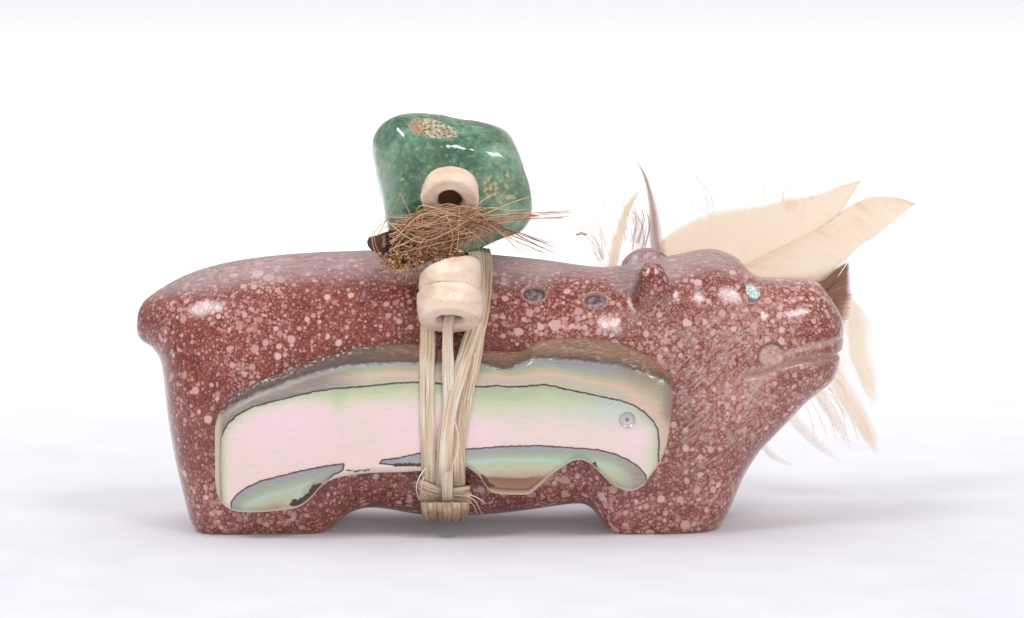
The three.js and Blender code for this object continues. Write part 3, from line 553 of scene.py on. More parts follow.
# Painted shade lies under the pits' upper walls and along the crease at the ear's back, and
# the ring and the ear's face are made darker.
EAR_SHADE = [(50.15, 25.6), (50.0, 24.8), (49.6, 23.6), (49.5, 22.6), (49.8, 21.2)]
ear_shade = 0.5 * bump(away_from_line(x, z, EAR_SHADE), 0.25) * near + 0.3 * beside_ear
ear_face = near * np.clip(1.8 - 1.5 * np.hypot((x - 51.6) / 1.8, (z - 24.6) / 2.6), 0, 1)
pit_shade = bump(pit_away - PIT_RADIUS + 0.1, 0.14) * near
pit_shade = pit_shade * np.clip(0.5 + (z - 23.3) / 0.8, 0.25, 1)
pit_rim = bump(pit_away - PIT_RADIUS - 0.12, 0.15) * near
wide_lip = bump(from_lip, 0.3) + 0.9 * bump(from_mouth, 0.5)
keep_attributes(
    animal.data,
    filed=filed,
    pit=np.clip(pit, 0, 1),
    haze=haze,
    crowding=0.4 * oval(x, z, (61.0, 15.5), (8.5, 8.0)) * near,
    dark_line=np.clip(ring * 1.6 + pit_shade + ear_shade + 0.16 * ear_face, 0, 1),
    pale_edge=np.clip(0.8 * pit_rim + wide_lip * near + 0.6 * core, 0, 1),
)
print("share of hazy skin:", round(float((haze > 0.5).mean()), 2))

# %% [markdown]
# The stone is a dark red limestone with round pale fossils, ground and then polished with
# fine grit. Round fossils cut at random give discs of many sizes, which is what a Voronoi
# pattern in space shows where a surface cuts it. Four sizes lie over each other, thinned
# out by a slow noise. Grey strokes of the file lie on the neck, and upward faces get a pale
# haze that is partly finer scratches and partly a painted reflection of the room above.
# Painted shade darkens the pits and the ear's back, the ring and the ear's face are darker,
# and bare stone shows pale at the marks, all where the attributes say.

# %% Red fossil stone, polished
red_stone, stone_shader, stone = new_material(
    "red_fossil_limestone_polished",
    IOR=1.54,
    Specular_IOR_Level=0.5,
    Coat_Weight=0.15,
    Coat_Roughness=0.1,
)
in_mm = in_millimetres(red_stone.node_tree)
# The pattern is bent by up to 0.1 mm so that no disc is a true circle. The ground between
# the discs is mottled in spots of 0.8 mm.
wander = stone("TexNoise", in_mm, Scale=0.9, Detail=3.0).node
shift = stone("VectorMath", wander.outputs["Color"], (0.5, 0.5, 0.5), operation="SUBTRACT")
shift = stone("VectorMath", shift, Scale=0.25, operation="SCALE")
bent = stone("VectorMath", in_mm, shift, operation="ADD")
crowd = stone("TexNoise", in_mm, Scale=0.16, Detail=2.0)
mottle = stone("TexNoise", in_mm, Scale=1.3, Detail=6.0, Roughness=0.65)
colour = stone("ValToRGB", mottle, stops=[(0.3, "#632923"), (0.5, "#7C3A31"), (0.7, "#9B5447")])
# Each size class of discs: how many cells lie in a mm, the disc's radius and its spread in
# cells, its soft edge, how far it gathers on the cheek, its dull and its pale colour, and
# how much it covers.
FOSSIL_SIZES = [
    (5.2, 0.48, 0.4, 0.28, 1.0, "#A8655A", "#C99C94", 0.56),
    (2.7, 0.38, 0.5, 0.2, 0.6, "#B47A71", "#D6AAA3", 0.7),
    (1.5, 0.22, 0.64, 0.12, -0.1, "#BA867F", "#DDB4AD", 0.8),
    (0.85, 0.06, 0.8, 0.08, -0.6, "#C2928B", "#E0B9B3", 0.85),
]
for per_mm, radius, spread, edge, gathered, dull, pale, cover in FOSSIL_SIZES:
    cells = stone("TexVoronoi", bent, Scale=per_mm).node
    luck = stone("SeparateColor", cells.outputs["Color"]).node
    size = stone(
        "Math", luck.outputs["Red"], spread, radius - spread * 0.5, operation="MULTIPLY_ADD"
    )
    crowded = stone("Math", crowd, 0.5, operation="SUBTRACT")
    crowded = stone("Math", "crowding", gathered, crowded, operation="MULTIPLY_ADD")
    size = stone("Math", crowded, 0.6, size, operation="MULTIPLY_ADD")
    disc = stone("Math", size, cells.outputs["Distance"], operation="SUBTRACT")
    disc = stone("MapRange", disc, 0.0, edge)
    tint = stone("ValToRGB", luck.outputs["Green"], stops=[(0.1, dull), (0.9, pale)])
    colour = lay_over(colour, tint, disc, cover)
# Grey chips of another mineral, about 1 mm, are rare and ragged.
torn = stone("VectorMath", shift, Scale=5.0, operation="SCALE")
torn = stone("VectorMath", in_mm, torn, operation="ADD")
chips = stone("TexVoronoi", torn, Scale=0.42).node
chip_luck = stone("SeparateColor", chips.outputs["Color"], out="Blue")
chip = stone("Math", chip_luck, 0.9, -0.9, operation="MULTIPLY_ADD")
chip = stone("Math", mottle, 0.5, chip, operation="MULTIPLY_ADD")
chip = stone("Math", chip, chips.outputs["Distance"], operation="SUBTRACT")
chip = stone("MapRange", chip, 0.06, 0.16)
colour = lay_over(colour, "#9E8A84", chip, 0.7)
# Fine polishing scratches catch the light all over.
scratch = stone(
    "Mapping", bent, Rotation=(0, -0.9, 0), Scale=(0.9, 0.5, 0.16), vector_type="TEXTURE"
)
scratch = stone("TexNoise", scratch, Scale=1.0, Detail=6.0, Roughness=0.7)
scratch = stone("MapRange", scratch, 0.56, 0.7)
colour = lay_over(colour, "#B59A94", scratch, 0.22)

# %% Scratches, pits, haze and painted shade on the stone
# Strokes of the file run up to the right, at 38 degrees, about 0.1 mm wide and 2 mm long.
strokes = stone(
    "Mapping", bent, Rotation=(0, math.radians(-38), 0), Scale=(1.7, 0.7, 0.09),
    vector_type="TEXTURE",
)
strokes = stone("TexNoise", strokes, Scale=1.0, Detail=4.0)
strokes = stone("MapRange", strokes, 0.53, 0.6)
greyed = stone("TexNoise", in_mm, Scale=0.5, Detail=5.0, Roughness=0.7)
greyed = stone("MapRange", greyed, 0.5, 0.68)
patches = stone("TexNoise", in_mm, Scale=0.45, Detail=3.0)
patches = stone("MapRange", patches, 0.4, 0.58, 0.2)
patches = stone("Math", patches, "filed", operation="MULTIPLY")
stroked = stone("Math", strokes, patches, operation="MULTIPLY")
dulled = stone("Math", greyed, "filed", operation="MULTIPLY")
colour = lay_over(colour, "#C2ADA6", stroked, 0.8)
colour = lay_over(colour, "#AE9D98", dulled, 0.72)
glassy = stone("TexNoise", in_mm, Scale=2.2, Detail=3.0)
glassy = stone("ValToRGB", glassy, stops=[(0.36, "#4A3C40"), (0.5, "#75636A"), (0.64, "#AE9CA2")])
colour = lay_over(colour, glassy, "pit", 0.85)
# Upward faces keep a pale haze drawn along the back: partly fine polishing scratches and
# partly a painted reflection of the bright room above.
brushed = stone("Mapping", in_mm, Scale=(0.35, 4.0, 4.0))
brushed = stone("TexNoise", brushed, Scale=1.0, Detail=5.0, Roughness=0.65)
brushed = stone("MapRange", brushed, 0.35, 0.65, 0.35)
brushed = stone("Math", brushed, "haze", operation="MULTIPLY")
colour = lay_over(colour, "#B4A2A3", brushed, 0.84)
# Painted shade in the pits and at the ear's back, and a darker ring and ear face.
colour = lay_over(colour, "#2E1A18", "dark_line", 0.8)
colour = lay_over(colour, "#D2AFA8", "pale_edge", 0.62)
rough = stone("Math", dulled, 0.3, 0.15, operation="MULTIPLY_ADD")
rough = stone("Math", scratch, 0.15, rough, operation="MULTIPLY_ADD")
rough = stone("Math", stroked, 0.25, rough, operation="MULTIPLY_ADD")
rough = stone("Math", "haze", 0.25, rough, operation="MULTIPLY_ADD")
fine_grain = stone("TexNoise", in_mm, Scale=7.0, Detail=4.0)
height = stone("Math", stroked, -1.5, fine_grain, operation="MULTIPLY_ADD")
relief = stone("Bump", Height=height, Strength=0.12, Distance=0.00006)
dress(stone_shader, Base_Color=colour, Roughness=rough, Normal=relief)


# %% The animal takes its place
def settle(obj, material, slot, *nodes):
    """Takes a finished piece to the frame, dresses it and hides the solids it stands for."""
    write_points(obj.data, to_frame(read_points(obj.data)))
    obj.data.materials.clear()
    obj.data.materials.append(material)
    obj.data.shade_smooth()
    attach(obj, "root")
    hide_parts(*nodes)
    low, high = (np.array(f(read_points(obj.data), 0)) * 1000 for f in (np.min, np.max))
    print(obj.name, "faces", len(obj.data.polygons), "mm", low.round(2), high.round(2))


settle(animal, red_stone, "red_stone", "stone_animal")

# %% [markdown]
# The plaque is a slice of abalone shell, 45 mm long. The shell grew in layers, so grinding
# it flat lays bare thin brown growth lines with bands of colour beside them, and the rough
# brown outer skin is left along its upper edge. A grid is laid over the plaque's outline,
# its copy becomes the back, and the distances to the growth lines are kept as attributes.

# %% Outline and growth lines of the plaque
PLAQUE_TOP = [
    (8.47, 11.16), (8.71, 12.14), (9.36, 13.12), (10.25, 14.02), (11.39, 14.84),
    (12.85, 15.57), (14.47, 16.14), (16.1, 16.71), (17.72, 17.37), (19.02, 17.86),
    (20.64, 18.27), (22.59, 18.76), (24.7, 19.03), (27.13, 19.2), (28.75, 19.08),
    (30.54, 18.76), (34.6, 18.48), (36.22, 18.46), (37.84, 18.38), (38.98, 18.67),
    (39.79, 19.3), (41.09, 19.57), (43.52, 19.69), (45.96, 19.52), (47.58, 19.25),
    (49.2, 18.73), (50.82, 18.0), (52.12, 17.1), (52.93, 16.2), (53.26, 15.2),
]
PLAQUE_FOOT = [
    (8.47, 5.61), (8.79, 4.22), (9.44, 3.4), (10.42, 2.91), (11.71, 2.78), (13.34, 2.83),
    (14.96, 2.99), (16.42, 3.24), (17.23, 3.65), (18.04, 4.38), (18.85, 5.28),
    (19.67, 5.93), (20.64, 6.26), (21.94, 6.51), (23.89, 6.72), (26.32, 6.78),
    (28.59, 6.91), (30.21, 7.0), (32.16, 7.24), (33.05, 7.32), (33.46, 7.08),
    (34.27, 6.42), (34.76, 5.77), (35.33, 4.95), (36.06, 4.66), (37.84, 4.55),
    (39.14, 4.6), (39.79, 5.04), (40.6, 5.77), (41.41, 6.51), (42.55, 7.32), (43.36, 7.81),
    (44.17, 7.98), (44.98, 7.73), (45.79, 7.08), (46.52, 6.34), (47.42, 5.53),
    (48.39, 5.04), (49.36, 4.92), (50.42, 5.44), (50.99, 6.26), (51.8, 7.4), (52.53, 8.87),
    (52.93, 10.51), (53.26, 12.9),
]
UPPER_LINE = [
    (9.2, 1.5), (9.04, 5.61), (8.99, 8.06), (9.12, 10.18), (9.44, 11.0), (9.93, 11.73),
    (10.9, 12.55), (12.2, 13.25), (14.15, 13.77), (16.1, 14.26), (18.21, 14.75),
    (20.32, 15.05), (22.59, 15.21), (24.7, 15.41), (26.32, 15.6), (28.59, 15.65),
    (30.54, 15.54), (33.62, 15.28), (34.76, 15.21), (35.89, 15.36), (37.36, 15.21),
    (38.98, 15.28), (40.76, 15.44), (41.9, 15.21), (43.52, 14.84), (45.14, 14.51),
    (46.77, 14.13), (48.23, 13.86), (49.36, 13.45), (50.5, 12.71), (51.31, 11.9),
    (51.8, 11.0), (51.93, 9.69), (51.83, 8.55), (51.93, 7.4), (51.93, 1.5),
]
LEFT_LENS = [
    (10.09, 1.5), (10.06, 3.81), (10.58, 4.55), (11.55, 5.28), (13.01, 5.93), (14.8, 6.42),
    (16.75, 6.91), (18.69, 7.32), (20.48, 7.6), (21.11, 7.65), (21.05, 7.0),
    (20.15, 6.62), (18.5, 4.9), (17.0, 1.5),
]
RIGHT_LENS = [
    (28.6, 7.62), (25.83, 7.57), (24.62, 7.7), (24.86, 8.03), (26.32, 8.22), (27.62, 8.52),
    (28.59, 8.71), (32.97, 9.12), (34.6, 9.2), (36.22, 9.36), (37.84, 9.4), (40.28, 9.45),
    (42.22, 9.33), (44.33, 9.17), (45.96, 9.04), (47.58, 8.63), (48.88, 8.06),
    (49.85, 7.4), (50.58, 6.59), (50.74, 5.93), (50.58, 4.5), (50.5, 1.5), (31.0, 1.5),
]
SKIN_EDGE = [
    (8.3, 10.6), (9.1, 12.3), (10.09, 13.1), (12.53, 14.3), (15.77, 15.6), (19.02, 16.6),
    (21.45, 17.12), (24.7, 17.34), (28.59, 17.37), (30.54, 17.37), (34.42, 17.4),
    (35.15, 17.1), (36.26, 16.77), (37.35, 16.71), (37.94, 17.07), (38.7, 17.44),
    (39.9, 17.81), (41.76, 17.75), (44.79, 17.56), (47.87, 17.15), (49.8, 16.6), (51.05, 16.22),
    (52.2, 15.8), (53.3, 14.7),
]
BROWN_FLAKES = [
    [(15.77, 3.57), (16.1, 4.14), (16.91, 4.22), (17.72, 4.95), (18.04, 5.61),
     (19.02, 5.77), (18.85, 5.28), (18.04, 4.38), (17.23, 3.65), (16.42, 3.32)],
    [(34.5, 6.75), (35.0, 6.42), (35.33, 5.85), (36.1, 5.41), (35.25, 5.3), (34.7, 5.93)],
    [(45.23, 7.65), (45.71, 7.86), (45.88, 7.4), (46.12, 6.75), (45.63, 7.16)],
    [(21.29, 7.05), (22.75, 7.05), (23.72, 7.16), (23.64, 6.95), (22.26, 6.85)],
    [(25.6, 7.62), (26.3, 7.72), (28.9, 7.72), (28.9, 7.42), (26.3, 7.38)],
]
TAN_LAYERS = [
    (33.6, 6.5), (35.16, 6.39), (37.84, 6.39), (40.28, 6.42), (41.2, 6.3), (40, 4), (34, 4),
]
DRILL_CENTRE = (48.8, 11.98)
DRILL_RADIUS = 0.8


def inside(x, z, corners):
    """True where a point of the side view lies inside a closed line."""
    hit = np.zeros(len(x), bool)
    for (x0, z0), (x1, z1) in zip(corners, corners[1:] + corners[:1]):
        if z0 != z1:
            hit ^= ((z0 > z) != (z1 > z)) & (x < (x1 - x0) * (z - z0) / (z1 - z0) + x0)
    return hit


def line_height(line, x):
    """Height of a smooth left-to-right line at x."""
    dense = smooth_rows(line, np.linspace(0, len(line) - 1, 12 * len(line)))
    return np.interp(x, np.maximum.accumulate(dense[:, 0]), dense[:, 1])


def signed_away(x, z, line, corners=None):
    """Distance to a line, positive inside its corners and negative outside."""
    return np.where(inside(x, z, corners or line), 1, -1) * away_from_line(x, z, line)


def filled(x, z, corners, soft):
    """1 inside a closed outline and 0 outside, with a soft edge."""
    return np.clip(0.5 + signed_away(x, z, corners + corners[:1], corners) / soft, 0, 1)


def noise_at(*places):
    """Smooth noise at places whose x, y and z are arrays or numbers."""
    return np.array([noise.noise(Vector(place)) for place in np.broadcast(*places)])


# %% The plaque's slab
PLAQUE_MIDDLE = (31, 12)
PLAQUE_SEAT = 10.3
PLAQUE_THICKNESS = 1.9
PLAQUE_CUTS = (320, 96)
PLAQUE_LEFT, PLAQUE_RIGHT = PLAQUE_TOP[0][0], PLAQUE_TOP[-1][0]
PLAQUE_ENDS = (8.4, 53.3)  # where the rounding of the ends starts


def plaque_back(x, z):
    """Depth of the plaque's back, which follows the stone's side."""
    bow = ((x - PLAQUE_MIDDLE[0]) / 23) ** 2
    lean = (np.maximum(0, z - PLAQUE_MIDDLE[1]) / 8) ** 2
    return -PLAQUE_SEAT + 0.2 * bow + 1.3 * lean


bm = bmesh.new()
bmesh.ops.create_grid(bm, x_segments=PLAQUE_CUTS[0], y_segments=PLAQUE_CUTS[1], size=1)
front_faces = list(bm.faces)
copied = bmesh.ops.extrude_face_region(bm, geom=front_faces, use_keep_orig=True)
for part in copied["geom"]:
    if isinstance(part, bmesh.types.BMVert):
        part.co.z = 1.0
plaque = new_object("abalone_plaque", bm)
across, up, is_back = read_points(plaque.data).T
half_way = (PLAQUE_RIGHT - PLAQUE_LEFT) / 2
x = PLAQUE_LEFT + half_way + half_way * np.sin(across * math.pi / 2)
top, foot = line_height(PLAQUE_TOP, x), line_height(PLAQUE_FOOT, x)
z = foot + (top - foot) * (0.5 + 0.5 * up)
upper_line = signed_away(x, z, UPPER_LINE)
lens = np.maximum(signed_away(x, z, LEFT_LENS), signed_away(x, z, RIGHT_LENS))
skin_edge = signed_away(x, z, SKIN_EDGE, SKIN_EDGE + [(53.3, 25), (8.3, 25)])
to_end = np.minimum(x - PLAQUE_ENDS[0], PLAQUE_ENDS[1] - x)
# The slab thins towards its rim, its ends and, less, its foot.
rim = np.clip((top - z) / (1.9 + 0.4 * ramp(x, 45, 48)), 0, 1)
heel = np.clip((z - foot) / 0.7, 0, 1)
end = np.clip(to_end / 1.3, 0, 1)
round_off = np.sin(np.minimum(rim, end) * math.pi / 2)
thick = PLAQUE_THICKNESS * (0.42 + 0.58 * round_off)
thick = thick * (0.8 + 0.2 * np.sin(heel * math.pi / 2))
# Growth lines, lenses and the drilled spot are low; the drill left a crumb of a ring.
drill_away = np.hypot(x - DRILL_CENTRE[0], z - DRILL_CENTRE[1])
thick -= 0.05 * bump(upper_line, 0.13) + 0.05 * bump(lens, 0.13)
thick -= 0.06 * np.clip(lens / 0.4, 0, 1)
thick -= 0.25 * dish(drill_away, DRILL_RADIUS - 0.1, 0.25)
thick += 0.1 * bump(drill_away - DRILL_RADIUS, 0.16) + 0.12 * bump(drill_away - 0.38, 0.12)
# The outer skin is worn a step lower and is rough, with a notch in the middle.
rough_skin = noise_at(x * 1.6, z * 3.0, 1.7)
fine_skin = noise_at(x * 5.0, z * 7.0, 4.2)
in_skin = np.clip(skin_edge / 0.3 + 0.5, 0, 1)
skin_step = 0.12 * ramp(x, 48.5, 46.5)
thick -= in_skin * (skin_step + 0.12 * rough_skin + 0.06 * fine_skin)
thick -= 0.25 * bump(x - 36.4, 1.9) * in_skin
depth = plaque_back(x, z) - thick * (1 - is_back)
write_points(plaque.data, np.stack([x, depth, z], axis=1))
bm = bmesh.new()
bm.from_mesh(plaque.data)
bmesh.ops.recalc_face_normals(bm, faces=bm.faces)
bm.to_mesh(plaque.data)
bm.free()

# %% What the plaque's finish needs to know
flake = np.max([filled(x, z, corners, 0.25) for corners in BROWN_FLAKES], axis=0)
flake = np.maximum(flake, bump(np.hypot(x - 47.26, z - 13.58), 0.13))
BAND_X = [9, 12, 16, 20, 26, 32, 37, 44, 48, 51, 52]
BAND_WIDTH = [0.35, 0.4, 0.4, 0.7, 0.8, 1.2, 1.5, 1.3, 1.1, 0.6, 0.4]
seam = bump(x - 20.7 - 0.05 * (z - 15), 0.9) * ramp(z, 9.5, 13.5)
in_band = upper_line / np.interp(x, BAND_X, BAND_WIDTH) * (1 - 0.5 * seam)
to_skin = np.maximum(-skin_edge, 0)
to_line = np.maximum(-upper_line, 0)
outer_share = to_line / np.maximum(to_line + to_skin, 2.3)
outer_share += ramp(x, 45.5, 50.5) * (0.38 - 0.8 * outer_share)
under_skin = np.clip(1.15 - to_skin / 1.8, 0, 1) * ramp(x, 45.5, 49.5)
end_grey = np.maximum(0.85 * under_skin, bump(x - 53.0, 0.9) * ramp(z, 11, 12.5))
left_rim = np.where((x < 11) & (z < 14), 0.3 * to_end, 9)
lilac = oval(x, z, (15.5, 11.2), (4.5, 2.4)) + 0.6 * oval(x, z, (27.5, 11.3), (3.5, 2.0))
lilac += 0.5 * oval(x, z, (34.5, 11.0), (3.0, 1.4)) + 0.7 * oval(x, z, (50.0, 10.3), (1.6, 1.4))
keep_attributes(
    plaque.data,
    upper_line=upper_line,
    in_band=in_band,
    outer_share=outer_share,
    end_grey=end_grey,
    foot_edge=np.minimum(z - foot, left_rim),
    end_edge=ramp(x, 48.5, 50.5) * bump(np.minimum(top - z, PLAQUE_ENDS[1] - x), 0.4),
    torn_edge=ramp(x, 27, 24) * bump(top - z, 0.32),
    sparkle=0.25 * (x < 44) + 0.75 * bump(x - 35.5, 2.6) + 0.3 * bump(x - 24, 4),
    browned=ramp(x, 23.5, 19),
    left_skin=ramp(x, 29, 23),
    lens_warm=0.9 * bump(x - 50.4, 2.1) + 0.12 * (x < 22),
    lilac=lilac,
    pale_blue=oval(x, z, (46.2, 13.0), (3.4, 1.5)),
    lens_line=lens,
    skin_edge=skin_edge,
    flake=flake,
    tan_layer=np.clip(signed_away(x, z, TAN_LAYERS) / 0.2 + 0.5, 0, 1),
    drill=drill_away / DRILL_RADIUS,
    to_edge=np.minimum(np.minimum(z - foot, top - z), to_end + 0.06),
)
print("plaque thickness, mm:", round(float(thick.min()), 2), round(float(thick.max()), 2))

# %% [markdown]
# Mother-of-pearl splits light in thin layers, so its colours come from the layers' spacing
# and run in bands along the growth lines: green at a line, then yellow, then pink. The
# bands are colour ramps over the distance to a line, bent by a slow noise, under a smooth
# clear polish. The brown outer skin is matt and grainy, with pale grains on its edge, and
# the shell turns grey-brown where it bends under the skin.

# %% Polished abalone
abalone, pearl_shader, pearl = new_material(
    "abalone_shell_polished", IOR=1.6, Specular_IOR_Level=0.55, Coat_Roughness=0.08
)
pearl_mm = in_millimetres(abalone.node_tree)
# The bands drift over 8 mm along the plaque. The silk is streaks 2 mm long and 0.2 mm high,
# and a wobble of 0.5 mm roughens the lines.
along = pearl("Mapping", pearl_mm, Scale=(0.13, 1.0, 0.5))
drift = pearl("TexNoise", along, Scale=1.0, Detail=3.0)
drift = pearl("Math", drift, 0.5, operation="SUBTRACT")
silk = pearl("Mapping", pearl_mm, Scale=(0.5, 1.0, 5.0))
silk = pearl("TexNoise", silk, Scale=1.0, Detail=5.0, Roughness=0.6)
wobble = pearl("TexNoise", pearl_mm, Scale=2.2, Detail=4.0)
wobble = pearl("Math", wobble, 0.5, operation="SUBTRACT")

in_band = pearl("Math", drift, 0.9, "in_band", operation="MULTIPLY_ADD")
heart = pearl(
    "ValToRGB", pearl("Math", in_band, 3.5, operation="DIVIDE"),
    stops=[
        (0.0, "#8F9CAC"), (0.05, "#92AA8F"), (0.18, "#A4B985"), (0.3, "#B8C792"), (0.45, "#CACDAC"),
        (0.62, "#DED0C0"), (0.8, "#E7CFC4"), (1.0, "#EAD0C7"),
    ],
)
cloud = pearl("TexNoise", pearl_mm, Scale=0.3, Detail=4.0)
lilac_here = pearl("Math", cloud, 0.5, -0.2, operation="MULTIPLY_ADD")
lilac_here = pearl("Math", "lilac", 0.8, lilac_here, operation="MULTIPLY_ADD")
heart = lay_over(heart, "#F4D0E2", lilac_here)
heart = lay_over(heart, "#B4CBD6", pearl("Math", cloud, "pale_blue", operation="MULTIPLY"))
outer_run = pearl("Math", drift, 0.35, "outer_share", operation="MULTIPLY_ADD")
outer = pearl(
    "ValToRGB", outer_run,
    stops=[
        (0.0, "#B4B188"), (0.14, "#B2B08E"), (0.26, "#B0AD9C"), (0.4, "#D2AC92"), (0.54, "#A8A57A"),
        (0.68, "#8A967A"), (0.84, "#757F88"), (1.0, "#686468"),
    ],
)
worn = pearl("TexNoise", along, Scale=3.0, Detail=6.0, Roughness=0.65)
worn = pearl("ValToRGB", worn, stops=[(0.35, "#3C2F2A"), (0.5, "#554944"), (0.65, "#706C72")])
outer = lay_over(outer, worn, "browned", 0.85)
outer = lay_over(outer, "#665448", "end_grey")
lens_run = pearl("Math", drift, 0.7, "lens_line", operation="MULTIPLY_ADD")
lens_bands = pearl(
    "ValToRGB", pearl("Math", lens_run, 3.2, operation="DIVIDE"),
    stops=[
        (0.0, "#7F7CA0"), (0.08, "#788894"), (0.2, "#7C947C"), (0.34, "#90A886"), (0.46, "#A4C2B8"),
        (0.56, "#A2B892"), (0.7, "#B2B084"), (0.85, "#A89472"), (1.0, "#8F7860"),
    ],
)
pearl_colour = lay_over(outer, heart, pearl("MapRange", "upper_line", -0.03, 0.03))
lens_bands = lay_over(lens_bands, "#7C6656", "lens_warm")
pearl_colour = lay_over(pearl_colour, lens_bands, pearl("MapRange", "lens_line", -0.03, 0.03))
shimmer = pearl("ValToRGB", silk, stops=[(0.34, "#A2C2AC"), (0.5, "#E4CFC2"), (0.66, "#D8BACE")])
pearl_colour = pearl("Mix", Factor=0.24, A=pearl_colour, B=shimmer, data_type="RGBA")

# %% Lines, skin and flakes of the plaque
tan_bands = pearl(
    "ValToRGB", pearl("Math", "to_edge", 2.0, operation="DIVIDE"),
    stops=[
        (0.0, "#D0B496"), (0.22, "#A87C5A"), (0.3, "#4A2818"), (0.37, "#945F3F"), (0.8, "#76472B"),
        (1.0, "#C8B48C"),
    ],
)
pearl_colour = lay_over(pearl_colour, tan_bands, "tan_layer", 0.9)
for fact, reach in (("upper_line", 0.13), ("lens_line", 0.12)):
    bent_line = pearl("Math", wobble, 0.24, fact, operation="MULTIPLY_ADD")
    bent_line = pearl("Math", bent_line, operation="ABSOLUTE")
    pearl_colour = lay_over(pearl_colour, "#4A2810", pearl("MapRange", bent_line, reach, 0.03))
rusty = pearl("TexNoise", pearl_mm, Scale=4.5, Detail=4.0)
rusty = pearl("Math", rusty, 0.5, operation="SUBTRACT")
ragged = pearl("Math", rusty, 1.9, "flake", operation="MULTIPLY_ADD")
pearl_colour = lay_over(pearl_colour, "#3E1E10", pearl("MapRange", ragged, 0.4, 0.6))
# The skin's grain is about 0.7 mm long and 0.1 mm high.
skin_run = pearl("Mapping", pearl_mm, Scale=(0.6, 1.0, 4.2))
skin_grain = pearl("TexNoise", skin_run, Scale=2.4, Detail=8.0, Roughness=0.7)
skin_brown = pearl(
    "ValToRGB", skin_grain,
    stops=[(0.3, "#5A3E2C"), (0.45, "#7E5A44"), (0.58, "#987058"), (0.7, "#D0B8A8")],
)
skin_foot = pearl("MapRange", "skin_edge", 1.1, 0.15)
skin_brown = lay_over(skin_brown, "#3A2216", skin_foot, 0.85)
skin_brown = lay_over(skin_brown, "#4A3833", "left_skin", 0.72)
skin_bent = pearl("Math", wobble, 0.5, "skin_edge", operation="MULTIPLY_ADD")
skin_here = pearl("MapRange", skin_bent, -0.05, 0.3)
pearl_colour = lay_over(pearl_colour, skin_brown, skin_here)
white_line = pearl("Math", skin_bent, 0.08, operation="SUBTRACT")
white_line = pearl("MapRange", pearl("Math", white_line, operation="ABSOLUTE"), 0.12, 0.03)
sparse = pearl("MapRange", skin_grain, 0.46, 0.58)
white_line = pearl("Math", white_line, sparse, operation="MULTIPLY")
white_line = pearl("Math", white_line, "sparkle", operation="MULTIPLY")
pearl_colour = lay_over(pearl_colour, "#E8E4E4", white_line, 0.7)
edge_pale = pearl("MapRange", "foot_edge", 0.28, 0.1)
pearl_colour = lay_over(pearl_colour, "#DEC4B0", edge_pale, 0.8)
pearl_colour = lay_over(pearl_colour, "#935F40", "end_edge", 0.8)
torn = pearl("TexNoise", pearl_mm, Scale=3.5, Detail=5.0)
torn = pearl("ValToRGB", torn, stops=[(0.48, "#4A3630"), (0.56, "#8E7A70"), (0.64, "#DDD4CE")])
pearl_colour = lay_over(pearl_colour, torn, "torn_edge", 0.9)
drill_ring = pearl("Math", "drill", 0.92, operation="SUBTRACT")
drill_ring = pearl("MapRange", pearl("Math", drill_ring, operation="ABSOLUTE"), 0.16, 0.04)
pearl_colour = lay_over(pearl_colour, "#C9BDC2", pearl("MapRange", "drill", 1.0, 0.85), 0.8)
pearl_colour = lay_over(pearl_colour, "#A88C82", drill_ring, 0.6)
pearl_colour = lay_over(pearl_colour, "#6B5A60", pearl("MapRange", "drill", 0.36, 0.2), 0.75)
pearl_rough = pearl("Math", skin_here, 0.06, 0.22, operation="MULTIPLY_ADD")
pearl_rough = pearl("Math", "left_skin", 0.2, pearl_rough, operation="MULTIPLY_ADD")
pearl_coat = pearl("MapRange", "left_skin", To_Min=0.3, To_Max=0.08)
pearl_height = pearl("Math", skin_grain, skin_here, operation="MULTIPLY")
pearl_height = pearl("Math", silk, 0.1, pearl_height, operation="MULTIPLY_ADD")
pearl_bump = pearl("Bump", Height=pearl_height, Strength=0.5, Distance=0.0002)
dress(
    pearl_shader, Base_Color=pearl_colour, Roughness=pearl_rough, Normal=pearl_bump,
    Coat_Weight=pearl_coat,
)
settle(plaque, abalone, "abalone", "shell_plaque")

# %% [markdown]
# Sinew is split from a dried tendon into flat, waxy ribbons of parallel fibres. Three turns
# run right round the stone, the plaque and the feather quills, one more strand comes out of
# the lowest bead, and thin threads cinch them all under the belly. A pulled turn takes the
# shortest way round, which is the convex hull of what it binds.

# %% The way of a pulled turn
LASHING_X = 31.5
LASHING_HALF = 1.3  # half the length of stone that the turns lie on
QUILL_POINTS = [(11.3, 7.0), (11.3, 12.4)]
TURN_STEPS = 220


def hull_of(spots):
    """Corners of the convex hull of flat points, in turning order."""
    spots = sorted(set(map(tuple, np.round(spots, 3))))
    half = []
    for run in (spots, spots[::-1]):
        line = []
        for p in run:
            while len(line) > 1 and (
                (line[-1][0] - line[-2][0]) * (p[1] - line[-2][1])
                <= (line[-1][1] - line[-2][1]) * (p[0] - line[-2][0])
            ):
                line.pop()
            line.append(p)
        half += line[:-1]
    return np.array(half)


def frame_to_mm(mesh):
    """A settled piece's points in carver's millimetres."""
    return read_points(mesh) / MM - (TAIL_X, MIDDLE_Y, 0)


